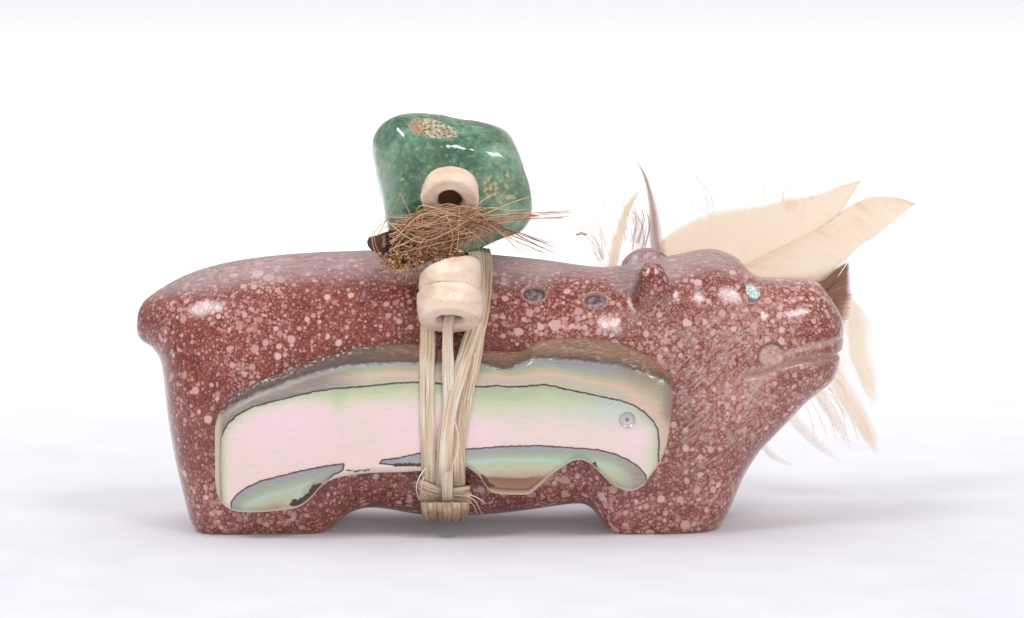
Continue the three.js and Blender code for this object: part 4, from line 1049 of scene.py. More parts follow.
bound = np.concatenate([frame_to_mm(animal.data), frame_to_mm(plaque.data)])
bound = bound[np.abs(bound[:, 0] - LASHING_X) < LASHING_HALF][:, 1:]
corners = hull_of(np.concatenate([bound, QUILL_POINTS]))
corners = np.concatenate([corners, corners[:1]])
run = run_along(corners)
at = np.linspace(0, run[-1], TURN_STEPS + 1)[:-1]
taut = np.stack([np.interp(at, run, corners[:, k]) for k in (0, 1)], axis=1)
for _ in range(3):
    taut = (np.roll(taut, 1, axis=0) + 2 * taut + np.roll(taut, -1, axis=0)) / 4
start = int(np.argmin(np.abs(taut[:, 0]) + 100 * (taut[:, 1] > 10)))
taut = np.roll(taut, -start, axis=0)  # starts and ends under the belly
ahead = np.roll(taut, -1, axis=0) - np.roll(taut, 1, axis=0)
ahead /= np.linalg.norm(ahead, axis=1)[:, None]
taut_out = np.stack([ahead[:, 1], -ahead[:, 0]], axis=1)
if (taut_out * (taut - taut.mean(0))).sum() < 0:
    taut_out = -taut_out
near_side = taut[:, 0] < -6
order = np.argsort(taut[near_side][:, 1])
near_height, near_depth = taut[near_side][order, 1], taut[near_side][order, 0]
print("one turn of sinew, mm:", round(float(run[-1]), 1))

# %% Flat strands
# Each turn: its x at some heights on the near side and on the far side, how far it lies off
# the stone, its widths all along, and its tone.
SINEW_TURNS = [
    (
        [(0, 29.6), (4, 29.5), (14, 29.25), (21, 29.3), (23.5, 29.6), (27, 30.0)],
        [(0, 29.8), (27, 31.8)], 0.14, [1.3, 1.25, 1.2, 1.5, 1.4, 1.3], 0.55,
    ),
    (
        [(0, 32.3), (9, 32.25), (14.4, 33.0), (17.3, 33.75), (20.3, 34.2), (24, 34.9), (27, 35.1)],
        [(0, 32.2), (27, 34.1)], 0.14, [1.35, 1.3, 1.3, 1.5, 1.4, 1.35], 0.3,
    ),
    (
        [(0, 31.0), (6, 30.8), (10.6, 31.15), (14.4, 31.8), (18.3, 33.0), (21, 34.0), (27, 34.4)],
        [(0, 31.0), (27, 33.0)], 0.4, [1.4, 1.4, 1.4, 1.5, 1.5, 1.4], 0.75,
    ),
]
THREAD_STRAND = [
    (31.5, -11.3, 24.3), (31.5, -12.3, 22.4), (31.35, -12.75, 21.2), (31.3, -12.6, 19.0),
    (31.35, -12.42, 16.5), (31.4, -12.36, 14.0), (31.3, -12.36, 10.5), (31.2, -12.3, 7.4),
    (31.2, -10.9, 4.4), (31.2, -9.7, 2.8),
]
FIBRES_ACROSS = 16
STRAND_CURL = 0.12  # mm that a strand's middle stands above its edges
STRAND_THICKNESS = 0.1
sinew_facts = {"across": [], "along_mm": [], "tone": []}


def smooth_path(points, count):
    """A smooth line through a few points."""
    return smooth_rows(points, np.linspace(0, len(points) - 1, count))


def ribbon(bm, path, outward, width, tone):
    """Lays a flat strand of parallel fibres along a path, with its facts for the finish."""
    path, outward = np.asarray(path, float), np.asarray(outward, float)
    length = run_along(path)
    ahead = np.gradient(path, axis=0)
    sideways = np.cross(outward, ahead)
    sideways /= np.linalg.norm(sideways, axis=1)[:, None]
    grid = bmesh.ops.create_grid(bm, x_segments=len(path) - 1, y_segments=FIBRES_ACROSS, size=1)
    for vert in grid["verts"]:
        t, v = (vert.co.x + 1) / 2, vert.co.y
        s = t * length[-1]
        middle, out, side = (
            np.array([np.interp(s, length, field[:, k]) for k in range(3)])
            for field in (path, outward, sideways)
        )
        wide = np.interp(t, np.linspace(0, 1, len(width)), width)
        wander = noise.noise(Vector((s * 0.25, tone * 9, 0)))
        ragged = noise.noise(Vector((s * 0.8, v * 3, tone * 5)))
        ridge = noise.noise(Vector((v * 6.5, s * 0.07, tone * 31)))
        place = middle + side * (v * wide / 2 * (1 + 0.12 * wander) + 0.05 * ragged)
        vert.co = place + out * (0.11 * ridge + STRAND_CURL * (1 - v * v))
        sinew_facts["across"].append(v)
        sinew_facts["along_mm"].append(s)
        sinew_facts["tone"].append(tone)


def turn_path(near_line, far_line, lift):
    """A turn's path and outward directions, with x read from its near and far lines."""
    steps = np.arange(TURN_STEPS + 1) % TURN_STEPS
    y, z = (taut[steps] + taut_out[steps] * lift).T
    near_x = np.interp(z, *zip(*near_line))
    far_x = np.interp(z, *zip(*far_line))
    path = np.stack([near_x + (far_x - near_x) * eased(ramp(y, -9, 9)), y, z], axis=1)
    out = np.concatenate([np.zeros((len(steps), 1)), taut_out[steps]], axis=1)
    return path, out


bm = bmesh.new()
for near_line, far_line, lift, widths, tone in SINEW_TURNS:
    ribbon(bm, *turn_path(near_line, far_line, lift), widths, tone)
strand_path = smooth_path(THREAD_STRAND, 90)
ribbon(bm, strand_path, np.tile((0, -1.0, 0), (90, 1)), [1.0, 1.05, 1.1, 1.1, 0.9], 0.9)
sinew = new_object("sinew_strands", bm)
keep_attributes(sinew.data, **sinew_facts)
body_of_strand = sinew.modifiers.new("thickness", "SOLIDIFY")
body_of_strand.thickness = STRAND_THICKNESS
body_of_strand.offset = 0.0
finished(sinew)
print("flat strands, faces:", len(sinew.data.polygons))

# %% [markdown]
# Thin threads pull the turns together under the plaque, and their frayed ends hang below. A
# thread is a curve with a round section. Its mesh remembers how far each point lies along
# the thread, so that the sinew's finish fits it too.

# %% Cinch threads and loose fibres
def threads(paths, radius, tones, taper=(1.0, 1.0), sides=1):
    """Round threads along paths, joined in one mesh that keeps each point's tone and place."""
    data = bpy.data.curves.new("threads", "CURVE")
    data.dimensions = "3D"
    data.bevel_depth = radius
    data.bevel_resolution = sides
    data.use_fill_caps = True
    for path in paths:
        spline = data.splines.new("POLY")
        spline.points.add(len(path) - 1)
        spline.points.foreach_set("co", np.c_[path, np.ones(len(path))].ravel())
        share = np.linspace(0, 1, len(path))
        spline.points.foreach_set("radius", taper[0] + (taper[1] - taper[0]) * share)
    carrier = bpy.data.objects.new("threads", data)
    bpy.context.scene.collection.objects.link(carrier)
    graph = bpy.context.evaluated_depsgraph_get()
    mesh = bpy.data.meshes.new_from_object(carrier.evaluated_get(graph))
    bpy.data.objects.remove(carrier)
    tree = KDTree(sum(map(len, paths)))
    facts = []
    for path, tone in zip(paths, tones):
        for spot, length in zip(path, run_along(path)):
            tree.insert(spot, len(facts))
            facts.append((length, tone))
    tree.balance()
    found = [tree.find(vert.co) for vert in mesh.vertices]
    keep_attributes(
        mesh,
        along_mm=[facts[k][0] for _, k, _ in found],
        tone=[facts[k][1] for _, k, _ in found],
        across=[vert.co.z - spot.z for vert, (spot, _, _) in zip(mesh.vertices, found)],
    )
    return mesh


def join(obj, *meshes):
    """Adds more meshes to an object's own."""
    bm = bmesh.new()
    for mesh in (obj.data, *meshes):
        bm.from_mesh(mesh)
    bm.to_mesh(obj.data)
    bm.free()


CINCH_MIDDLE, CINCH_HALF, CINCH_TOP = 30.95, 2.3, 5.35  # mm along, to each side and up
CINCH_STEP = 0.34  # each wrap lies this much lower
CINCH_TONES = [0.9, 0.5, 1.0, 0.7, 0.9, 0.4]
CINCH_ENDS = 22
WRAP_RADIUS, END_RADIUS, FIBRE_RADIUS = 0.25, 0.34, 0.07
LOOSE_FIBRES = [
    [
        (29.1, -12.5, 7.3), (28.5, -12.6, 6.4), (28.2, -12.2, 5.3), (28.4, -11.4, 4.2),
        (29.0, -10.9, 3.6),
    ],
    [(29.0, -12.4, 6.4), (28.75, -12.5, 5.8), (28.75, -12.0, 4.9), (29.2, -11.4, 4.4)],
    [(33.2, -11.2, 4.3), (33.9, -11.4, 3.9), (34.4, -11.3, 3.0), (34.7, -11.2, 2.4)],
    [(33.1, -11.2, 4.5), (34.0, -11.5, 4.3), (34.9, -11.5, 3.7)],
    [(33.1, -11.0, 4.0), (33.8, -11.2, 3.4), (34.1, -11.1, 2.6)],
    [(33.9, -12.3, 18.6), (33.9, -12.5, 17.6), (33.6, -12.6, 15.9), (33.2, -12.7, 14.0)],
    [(31.9, -12.6, 12.2), (32.3, -12.9, 10.5), (32.2, -13.0, 8.8), (31.7, -12.8, 7.6)],
]
turn = np.linspace(0, 2 * math.pi, 60)
wraps = []
for k in range(len(CINCH_TONES)):
    x = CINCH_MIDDLE - (CINCH_HALF + 0.06 * (k % 3)) * np.cos(turn)
    sag = 0.35 * np.cos(turn) - 0.4 * np.clip(np.sin(turn), 0, 1)
    z = CINCH_TOP - CINCH_STEP * k + sag + 0.12 * np.sin(3 * turn + k)
    y = np.interp(z, near_height, near_depth) - 0.5 * np.sin(turn) - 0.08 * (k % 2) - 0.55
    wraps.append(np.stack([x, y, z], axis=1))
ends = []
for k in range(CINCH_ENDS):
    x = CINCH_MIDDLE - 2.0 + 0.19 * k + 0.12 * math.sin(k * 5.1)
    low = 2.1 + 0.2 * math.sin(k * 2.3)
    out = -11.35 + 0.25 * math.sin(k * 3.7)
    inner = x + 0.35 * (CINCH_MIDDLE - x) / 2
    path = [(x, out, 3.7), (x + 0.05, out, 2.9), (inner, out + 0.7, low), (inner, -9.0, 2.4)]
    ends.append(smooth_path(path, 14))
end_tones = 0.25 + 0.25 * np.sin(np.arange(CINCH_ENDS) * 2.1)
loose = [smooth_path(fibre, 16) for fibre in LOOSE_FIBRES]
join(
    sinew,
    threads(wraps, WRAP_RADIUS, CINCH_TONES, sides=2),
    threads(ends, END_RADIUS, end_tones, (1.0, 0.9), sides=2),
    threads(loose, FIBRE_RADIUS, np.linspace(0.5, 1, len(loose)), (1.0, 0.6)),
)
print("cinch wraps:", len(wraps), "cut ends:", len(ends), "loose fibres:", len(loose))

# %% [markdown]
# Dried sinew is a little see-through and waxy: pale along each fibre's back, brown between
# fibres. The finish reads how far a point is across and along its strand, so the streaks
# follow every bend.

# %% Waxed sinew
waxed_sinew, sinew_shader, wax = new_material(
    "waxed_dry_sinew", IOR=1.5, Roughness=0.42, Subsurface_Weight=0.15, Subsurface_Scale=0.001
)
# About ten fibres lie across a strand, 0.13 mm each, and one runs for some 6 mm.
lane = wax("CombineXYZ", "across", "along_mm", "tone")
lane = wax("Mapping", lane, Scale=(5.0, 0.16, 17.0))
fibres = wax("TexNoise", lane, Scale=1.0, Detail=5.0, Roughness=0.65)
tinted = wax("Math", "tone", 0.16, fibres, operation="MULTIPLY_ADD")
sinew_colour = wax(
    "ValToRGB", tinted,
    stops=[(0.36, "#8E6A50"), (0.48, "#C2A084"), (0.6, "#DCC3A8"), (0.75, "#F0E2D2")],
)
# It is dirty where it goes over the back, and painted shade darkens it under the belly.
high = wax("SeparateXYZ", wax("TexCoord", out="Object")).node
over_back = wax("MapRange", high.outputs["Z"], 0.0205, 0.0275)
under_belly = wax("MapRange", high.outputs["Z"], 0.0041, 0.0021)
dirt_and_shade = wax("Math", over_back, 0.5, under_belly, operation="MULTIPLY_ADD")
sinew_colour = lay_over(sinew_colour, "#6E4E3A", dirt_and_shade, 0.85)
sinew_height = wax("Bump", Height=fibres, Strength=0.5, Distance=0.00012)
dress(sinew_shader, Base_Color=sinew_colour, Normal=sinew_height)
settle(sinew, waxed_sinew, "sinew", "sinew_lashing")

# %% [markdown]
# Each bead is sawn from a shell, drilled, and rubbed round on a stone. A half profile of its
# wall is spun once round its own axis, its edges are beveled as wear does, and a little
# noise makes it hand-made. The lowest two hang in a stack that leans back. The third stands
# in front of the nugget, its drilled face is turned up to the front, and dirt fills its hole.

# %% Shell beads
BEAD_HOLE = 1.15
BEAD_WEAR = 0.2  # mm, the rounding of the edges


def bead(name, radius, length, base, lean, slant, seed, shoulder=0.985, packed=False):
    """Spins, wears and places one bead. Its axis starts at the base and leans back."""
    bm = bmesh.new()
    wall = [(BEAD_HOLE * 1.25, 0.0), (radius * 0.94, 0.0), (radius, length * 0.35)]
    wall += [(radius * (0.6 + 0.4 * shoulder), length * 0.8), (radius * shoulder, length)]
    wall += [(BEAD_HOLE, length), (BEAD_HOLE * 0.9, length * 0.5)]
    if packed:  # dirt fills the hole behind its mouth
        wall = [(0, length * 0.35), (BEAD_HOLE * 0.9, length * 0.3), *wall[:-2], (0, length)]
    verts = [bm.verts.new((r, 0, h)) for r, h in wall]
    edges = [bm.edges.new(pair) for pair in zip(verts, verts[1:])]
    if not packed:
        edges.append(bm.edges.new((verts[-1], verts[0])))
    bmesh.ops.spin(
        bm, geom=verts + edges, cent=(0, 0, 0), axis=(0, 0, 1), angle=2 * math.pi, steps=64,
        use_merge=True,
    )
    bmesh.ops.remove_doubles(bm, verts=bm.verts, dist=1e-4)
    bmesh.ops.recalc_face_normals(bm, faces=bm.faces)
    corners = [e for e in bm.edges if len(e.link_faces) == 2 and e.calc_face_angle() > 0.7]
    bmesh.ops.bevel(
        bm, geom=corners, offset=BEAD_WEAR, affect="EDGES", segments=3, profile=0.5, material=-1
    )
    for _ in range(2):
        long_edges = [e for e in bm.edges if e.calc_length() > 0.4]
        bmesh.ops.subdivide_edges(bm, edges=long_edges, cuts=1, use_grid_fill=True)
    bmesh.ops.triangulate(bm, faces=[f for f in bm.faces if len(f.verts) > 4])
    tilt = Matrix.Rotation(-math.radians(lean), 3, "X")
    for vert in bm.verts:
        x, y, h = vert.co
        vert.co.z += slant * x * max(0, h / length) ** 2
        reach = math.hypot(x, y)
        chip = noise.noise(vert.co * 0.55 + Vector((seed, 0, 0)))
        grain = noise.noise(vert.co * 1.9 + Vector((0, seed, 0)))
        push = 0.13 * chip + 0.035 * grain
        vert.co += Vector((x, y, 0)) / max(reach, 0.1) * push + Vector((0, 0, 0.05 * grain))
        vert.co = tilt @ vert.co + Vector(base)
    return new_object(name, bm)


STACK_BASE, STACK_LEAN = Vector((31.5, -12.7, 21.75)), 29
STACK_STEP = 2.95  # mm from the lowest bead's base to the next one's
FACE_BASE, FACE_LEAN = Vector((31.5, -9.6, 33.1)), 56
stack_axis = Matrix.Rotation(-math.radians(STACK_LEAN), 3, "X") @ Vector((0, 0, 1))
middle_base = STACK_BASE + stack_axis * STACK_STEP
low_bead = bead("low_shell_bead", 3.25, 2.9, STACK_BASE, STACK_LEAN, 0.0, 3.1)
mid_bead = bead("mid_shell_bead", 3.12, 2.6, middle_base, STACK_LEAN, 0.26, 8.6, 0.92)
face_bead = bead("face_shell_bead", 2.9, 2.45, FACE_BASE, FACE_LEAN, 0.0, 5.3, 0.9, packed=True)
print("bead faces:", [len(obj.data.polygons) for obj in (low_bead, mid_bead, face_bead)])

# %% [markdown]
# Shell rubbed on sandstone is satin, cream with pink and tan growth clouds, and holds brown
# dirt in its drill hole and in small pinholes. How deep in the hole a point lies is kept as
# an attribute, read from its distance to the bead's axis.

# %% Rubbed cream shell
cream_shell, cream_shader, shell = new_material(
    "rubbed_cream_shell", IOR=1.53, Subsurface_Weight=0.12, Subsurface_Scale=0.0015
)
shell_mm = in_millimetres(cream_shell.node_tree)
# The growth clouds are about 4 mm long and 1 mm high, and the pinholes lie 1 mm apart.
clouds = shell("Mapping", shell_mm, Scale=(0.35, 0.6, 1.1))
clouds = shell("TexNoise", clouds, Scale=0.8, Detail=5.0)
shell_colour = shell(
    "ValToRGB", clouds,
    stops=[(0.3, "#D9B89C"), (0.45, "#E5CAB2"), (0.6, "#EDD8C6"), (0.75, "#F3E2D3")],
)
dirt = shell("TexNoise", shell_mm, Scale=2.2, Detail=4.0)
dirt = shell("Math", dirt, 0.8, "hollow", operation="MULTIPLY_ADD")
dirt = shell("MapRange", dirt, 0.95, 1.3)
shell_colour = lay_over(shell_colour, "#5A3A22", dirt)
pinholes = shell("TexVoronoi", shell_mm, Scale=0.9, out="Distance")
pinholes = shell("MapRange", pinholes, 0.1, 0.05, To_Max=0.6)
shell_colour = lay_over(shell_colour, "#9A6A4E", pinholes)
shell_rough = shell("MapRange", clouds, To_Min=0.22, To_Max=0.5)
shell_grain = shell("TexNoise", shell_mm, Scale=6.0, Detail=3.0)
shell_bump = shell("Bump", Height=shell_grain, Strength=0.15, Distance=0.0001)
dress(cream_shader, Base_Color=shell_colour, Roughness=shell_rough, Normal=shell_bump)
for obj, node, base, lean in (
    (low_bead, "bottom_shell_bead", STACK_BASE, STACK_LEAN),
    (mid_bead, "middle_shell_bead", STACK_BASE, STACK_LEAN),
    (face_bead, "top_shell_bead", FACE_BASE, FACE_LEAN),
):
    axis = np.array(Matrix.Rotation(-math.radians(lean), 3, "X") @ Vector((0, 0, 1)))
    apart = read_points(obj.data) - np.array(base)
    from_axis = np.linalg.norm(apart - np.outer(apart @ axis, axis), axis=1)
    keep_attributes(obj.data, hollow=ramp(from_axis, 1.5, 1.1))
    settle(obj, cream_shell, "cream_shell", node)

# %% [markdown]
# The eyes are chips of blue-green stone with brown veins, set in drilled sockets and ground
# flush with the stone. Each is a flattened ball with a jagged rim, turned to the way the
# stone faces there.

# %% Inlaid eyes
inlay_stone, inlay_shader, inlay = new_material("veined_blue_green_inlay", IOR=1.6, Coat_Weight=0.3)
inlay_mm = in_millimetres(inlay_stone.node_tree)
# The chips between the veins are about 0.5 mm.
veins = inlay("TexVoronoi", inlay_mm, Scale=2.1, feature="DISTANCE_TO_EDGE")
veins = inlay("MapRange", veins, 0.06, 0.0)
chips = inlay("TexNoise", inlay_mm, Scale=3.5, Detail=4.0)
chips = inlay(
    "ValToRGB", chips,
    stops=[(0.33, "#7FA597"), (0.42, "#BADACD"), (0.52, "#D8EBE2"), (0.62, "#F6FAF7")],
)
chips = lay_over(chips, "#46503F", veins)
inlay_rough = inlay("MapRange", veins, To_Min=0.2, To_Max=0.5)
dress(inlay_shader, Base_Color=chips, Roughness=inlay_rough)
EYE_HALF_THICK = 0.35
EYE_SUNK = 0.2
skin_mm = frame_to_mm(animal.data)
skin_out = read_normals(animal.data)
for side, name in ((-1, "near_eye"), (1, "far_eye")):
    flat = np.hypot(skin_mm[:, 0] - EYE_CENTRE[0], skin_mm[:, 2] - EYE_CENTRE[1])
    round_eye = (flat > 1.1) & (flat < 1.5) & (skin_mm[:, 1] * side > 0)
    centre = skin_mm[round_eye].mean(0)
    facing = Vector(skin_out[round_eye].mean(0)).normalized()
    bm = bmesh.new()
    bmesh.ops.create_uvsphere(bm, u_segments=40, v_segments=24, radius=1)
    turn_out = facing.to_track_quat("Z", "Y").to_matrix()
    for vert in bm.verts:
        jag = 1 + 0.08 * noise.noise(vert.co * 2.4 + Vector((side, 3, 1)))
        flattened = math.copysign(abs(vert.co.z) ** 0.6, vert.co.z)
        reach = EYE_RADIUS * jag
        shaped = Vector((vert.co.x * reach, vert.co.y * reach, flattened * EYE_HALF_THICK))
        vert.co = turn_out @ shaped + Vector(centre) - facing * EYE_SUNK
    settle(new_object(name + "_inlay", bm), inlay_stone, "inlay_stone", name)

# %% [markdown]
# The nugget is a tumbled piece of green stone: flat breaks whose edges the tumbler has
# rounded. A fine sphere is pressed against nineteen planes; the smooth maximum of the
# planes gives rounded edges, slow noise gives the soft dimples of tumbling, and four corners
# are pushed out or in a little. A porous patch of the host rock stays on the upper edge.

# %% Green nugget
NUGGET_CENTRE = (31.25, 0.9, 34.0)
NUGGET_ROUNDNESS = 14
# Each facet: the way it faces and its distance from the middle.
NUGGET_FACETS = np.array(
    [
        (0.03, 0.1, 1.0, 7.1), (0.27, 0.0, 0.96, 6.9), (0.8, -0.1, 0.58, 7.8),
        (0.99, 0.05, 0.12, 7.9), (0.87, 0.0, -0.49, 8.7), (0.33, 0.0, -0.94, 7.6),
        (0.0, 0.34, -0.94, 4.85), (-0.98, 0.0, -0.2, 6.95), (-0.85, 0.1, 0.52, 9.0),
        (-0.35, 0.0, 0.94, 8.5), (0.06, -1.0, 0.05, 5.3), (0.16, -0.62, 0.78, 6.4),
        (-0.75, -0.65, 0.1, 7.2), (0.72, -0.68, 0.05, 7.8), (0.0, -0.85, -0.53, 5.9),
        (0.1, 1.0, 0.1, 5.3), (-0.7, 0.7, 0.1, 7.4), (0.7, 0.7, -0.1, 7.5), (0.0, 0.65, 0.76, 6.8),
    ]
)
# Each corner: its x and z from the middle, and how far it is pushed along x and z.
NUGGET_CORNERS = [
    (7.7, -3.3, 0.4, -0.3), (5.8, -6.4, 0.0, 0.6), (1.8, -6.3, 0.0, -0.6), (-7.0, 4.0, -0.12, 0.1)
]
PATCH = [
    (27.1, 40.2), (27.8, 40.8), (29.8, 40.7), (32.0, 39.8), (32.2, 39.0), (29.8, 38.9),
    (27.9, 39.3),
]
SPECKS = [(35.4, 34.6), (36.6, 34.0), (37.2, 32.9), (36.2, 33.0), (37.0, 35.2), (35.2, 33.6)]
NUGGET_VEIN = [(30.2, 38.4), (30.1, 37.4), (30.5, 36.2), (30.3, 35.8)]
bm = bmesh.new()
bmesh.ops.create_icosphere(bm, subdivisions=7, radius=1)
nugget = new_object("tumbled_nugget", bm)
way = read_points(nugget.data)
way /= np.linalg.norm(way, axis=1)[:, None]
planes = NUGGET_FACETS[:, :3] / np.linalg.norm(NUGGET_FACETS[:, :3], axis=1)[:, None]
press = np.maximum(way @ planes.T / NUGGET_FACETS[:, 3], 0)
reach = (press**NUGGET_ROUNDNESS).sum(1) ** (-1 / NUGGET_ROUNDNESS)
slow = noise_at(*(way * 2.3 + (3.3, 1.1, 0.4)).T)
fine = noise_at(*(way * 7.0 + (0.2, 5.1, 2.4)).T)
reach += 0.22 * slow + 0.04 * fine - 0.03
local = way * reach[:, None]
for corner_x, corner_z, push_x, push_z in NUGGET_CORNERS:
    corner = bump(np.hypot(local[:, 0] - corner_x, local[:, 2] - corner_z), 2.6)
    local[:, 0] += push_x * corner
    local[:, 2] += push_z * corner
patch_x, patch_z = local[:, 0] + NUGGET_CENTRE[0], local[:, 2] + NUGGET_CENTRE[2]
in_front = local[:, 1] < 0
patch = filled(patch_x, patch_z, PATCH, 0.3) * (local[:, 1] < -1)
specks = sum(bump(np.hypot(patch_x - a, patch_z - b), 0.75) for a, b in SPECKS)
pale_end = 0.7 * oval(patch_x, patch_z, (25.2, 35.0), (1.1, 2.6))
vein = bump(away_from_line(patch_x, patch_z, NUGGET_VEIN), 0.09)
pores = noise_at(*(way * 34).T)
local -= way * (patch * (0.1 + 0.16 * np.maximum(pores, 0)))[:, None]
write_points(nugget.data, local + np.array(NUGGET_CENTRE))
keep_attributes(
    nugget.data,
    patch=patch,
    pinkness=patch * ramp(patch_x, 28.9, 28.1),
    specks=np.clip(specks * in_front, 0, 1),
    pale_side=np.maximum(0.45 * ramp(patch_x, 35.2, 37.7), pale_end),
    vein=vein * in_front,
)
print("nugget, mm:", np.ptp(local, axis=0).round(1))

# %% [markdown]
# The stone is deep green with paler and bluer clouds, and tan flecks, under a very smooth
# tumbled gloss. Its ends are paler, partly as painted light on the side facets. The host
# rock in the patch is a porous comb of tan cells with pink at its left end, and a thin
# brown vein runs down from it.

# %% Tumbled green stone
green_stone, green_shader, green = new_material(
    "tumbled_green_turquoise",
    IOR=1.6,
    Specular_IOR_Level=0.5,
    Coat_Weight=0.5,
    Coat_Roughness=0.04,
    Subsurface_Weight=0.05,
    Subsurface_Scale=0.001,
)
green_mm = in_millimetres(green_stone.node_tree)
# Clouds of 5 mm carry finer ones of 0.7 mm. Flecks are 0.5 mm, the comb's cells 0.3 mm.
deep = green("TexNoise", green_mm, Scale=0.22, Detail=7.0, Roughness=0.62, Distortion=0.5)
green_colour = green(
    "ValToRGB", deep,
    stops=[
        (0.3, "#2C4E3B"), (0.42, "#42684F"), (0.5, "#587E65"), (0.57, "#6B937B"), (0.64, "#86AC98"),
        (0.74, "#B0C8B0"),
    ],
)
cloud = green("TexNoise", green_mm, Scale=1.4, Detail=8.0, Roughness=0.7)
cloud = green("MapRange", cloud, 0.5, 0.72, To_Max=0.55)
green_colour = lay_over(green_colour, "#AFC8A2", cloud)
# The ends turn paler, partly as painted light on the side facets.
side_here = green("Math", "pale_side", deep, operation="MULTIPLY")
green_colour = lay_over(green_colour, "#B6C8AC", side_here)
murk = green("TexNoise", green_mm, Scale=0.8, Detail=6.0, Distortion=0.8)
murk = green("MapRange", murk, 0.55, 0.75, To_Max=0.6)
green_colour = lay_over(green_colour, "#2A5A48", murk)
fleck = green("TexNoise", green_mm, Scale=1.9, Detail=5.0)
fleck = green("Math", "specks", 0.16, fleck, operation="MULTIPLY_ADD")
fleck = green("MapRange", fleck, 0.66, 0.74, To_Max=0.85)
green_colour = lay_over(green_colour, "#C2AF7E", fleck)
comb = green("TexVoronoi", green_mm, Scale=3.2, out="Distance")
host = green(
    "ValToRGB", comb,
    stops=[(0.12, "#4C5844"), (0.3, "#7E725A"), (0.5, "#AEA184"), (0.8, "#CFC4A8")],
)
host = lay_over(host, "#A87E68", "pinkness", 0.7)
ragged = green("TexNoise", green_mm, Scale=2.6, Detail=4.0)
ragged = green("Math", ragged, 1.2, "patch", operation="MULTIPLY_ADD")
ragged = green("MapRange", ragged, 1.05, 1.2)
green_colour = lay_over(green_colour, host, ragged)
green_colour = lay_over(green_colour, "#6B4A34", "vein", 0.6)
green_rough = green("MapRange", ragged, To_Min=0.12, To_Max=0.7)
green_height = green("Math", comb, ragged, operation="MULTIPLY")
green_bump = green("Bump", Height=green_height, Strength=0.6, Distance=0.0003)
dress(green_shader, Base_Color=green_colour, Roughness=green_rough, Normal=green_bump)
settle(nugget, green_stone, "green_stone", "green_nugget")

# %% [markdown]
# The tuft is a pinch of coarse animal hair still on its dried root: a crusty dark lump with
# golden crumbs. The hairs lie flat over the lump, gather beside the bead and fan out again.
# The lump is a fine sphere drawn out along a short line and roughened in three sizes of
# noise; every hair is a thin tube along a smooth line.

# %% Dried root of the tuft
ROOT_ROWS = [
    (23.35, 29.1, 0.0), (23.6, 29.0, 0.55), (24.5, 28.8, 1.0), (25.5, 28.7, 1.6),
    (26.8, 28.75, 2.2), (28.3, 29.1, 2.25), (29.8, 29.5, 2.0), (31.3, 29.9, 1.5),
    (32.6, 30.2, 0.9), (33.2, 30.3, 0.0),
]
ROOT_Y, ROOT_FLATNESS = -8.7, 0.62
bm = bmesh.new()
bmesh.ops.create_icosphere(bm, subdivisions=6, radius=1)
root = new_object("hair_tuft_root", bm)
way = read_points(root.data)
way /= np.linalg.norm(way, axis=1)[:, None]
row = np.arccos(np.clip(-way[:, 0], -1, 1)) / math.pi * (len(ROOT_ROWS) - 1)
root_x, root_z, half = smooth_rows(ROOT_ROWS, row).T
around = way[:, 1:] / np.maximum(np.linalg.norm(way[:, 1:], axis=1), 1e-6)[:, None]
half = np.maximum(half, 0)
places = np.stack(
    [root_x, ROOT_Y + around[:, 0] * half * ROOT_FLATNESS, root_z + around[:, 1] * half], axis=1
)
lump = noise_at(*(places * 0.7).T)
crust = noise_at(*(places * 2.1).T)
crumb = noise_at(*(places * 5.5).T)
stub = ramp(places[:, 0], 25.3, 24.8)
rough = 0.45 * lump + 0.3 * crust + 0.16 * crumb
places += way * (rough * (1 - 0.7 * stub) * np.clip(half, 0, 1))[:, None]
write_points(root.data, places)
zeros = np.zeros(len(places))
keep_attributes(
    root.data, crest=0.5 + 0.9 * crust + 0.6 * crumb, stub=stub, hairiness=zeros, tone=zeros
)
print("dried root, mm:", np.ptp(places, axis=0).round(1))

# %% Hairs
dice = np.random.default_rng(7)
HAIR_STEPS = 22
HAIR_RADIUS, CURL_RADIUS = 0.052, 0.075
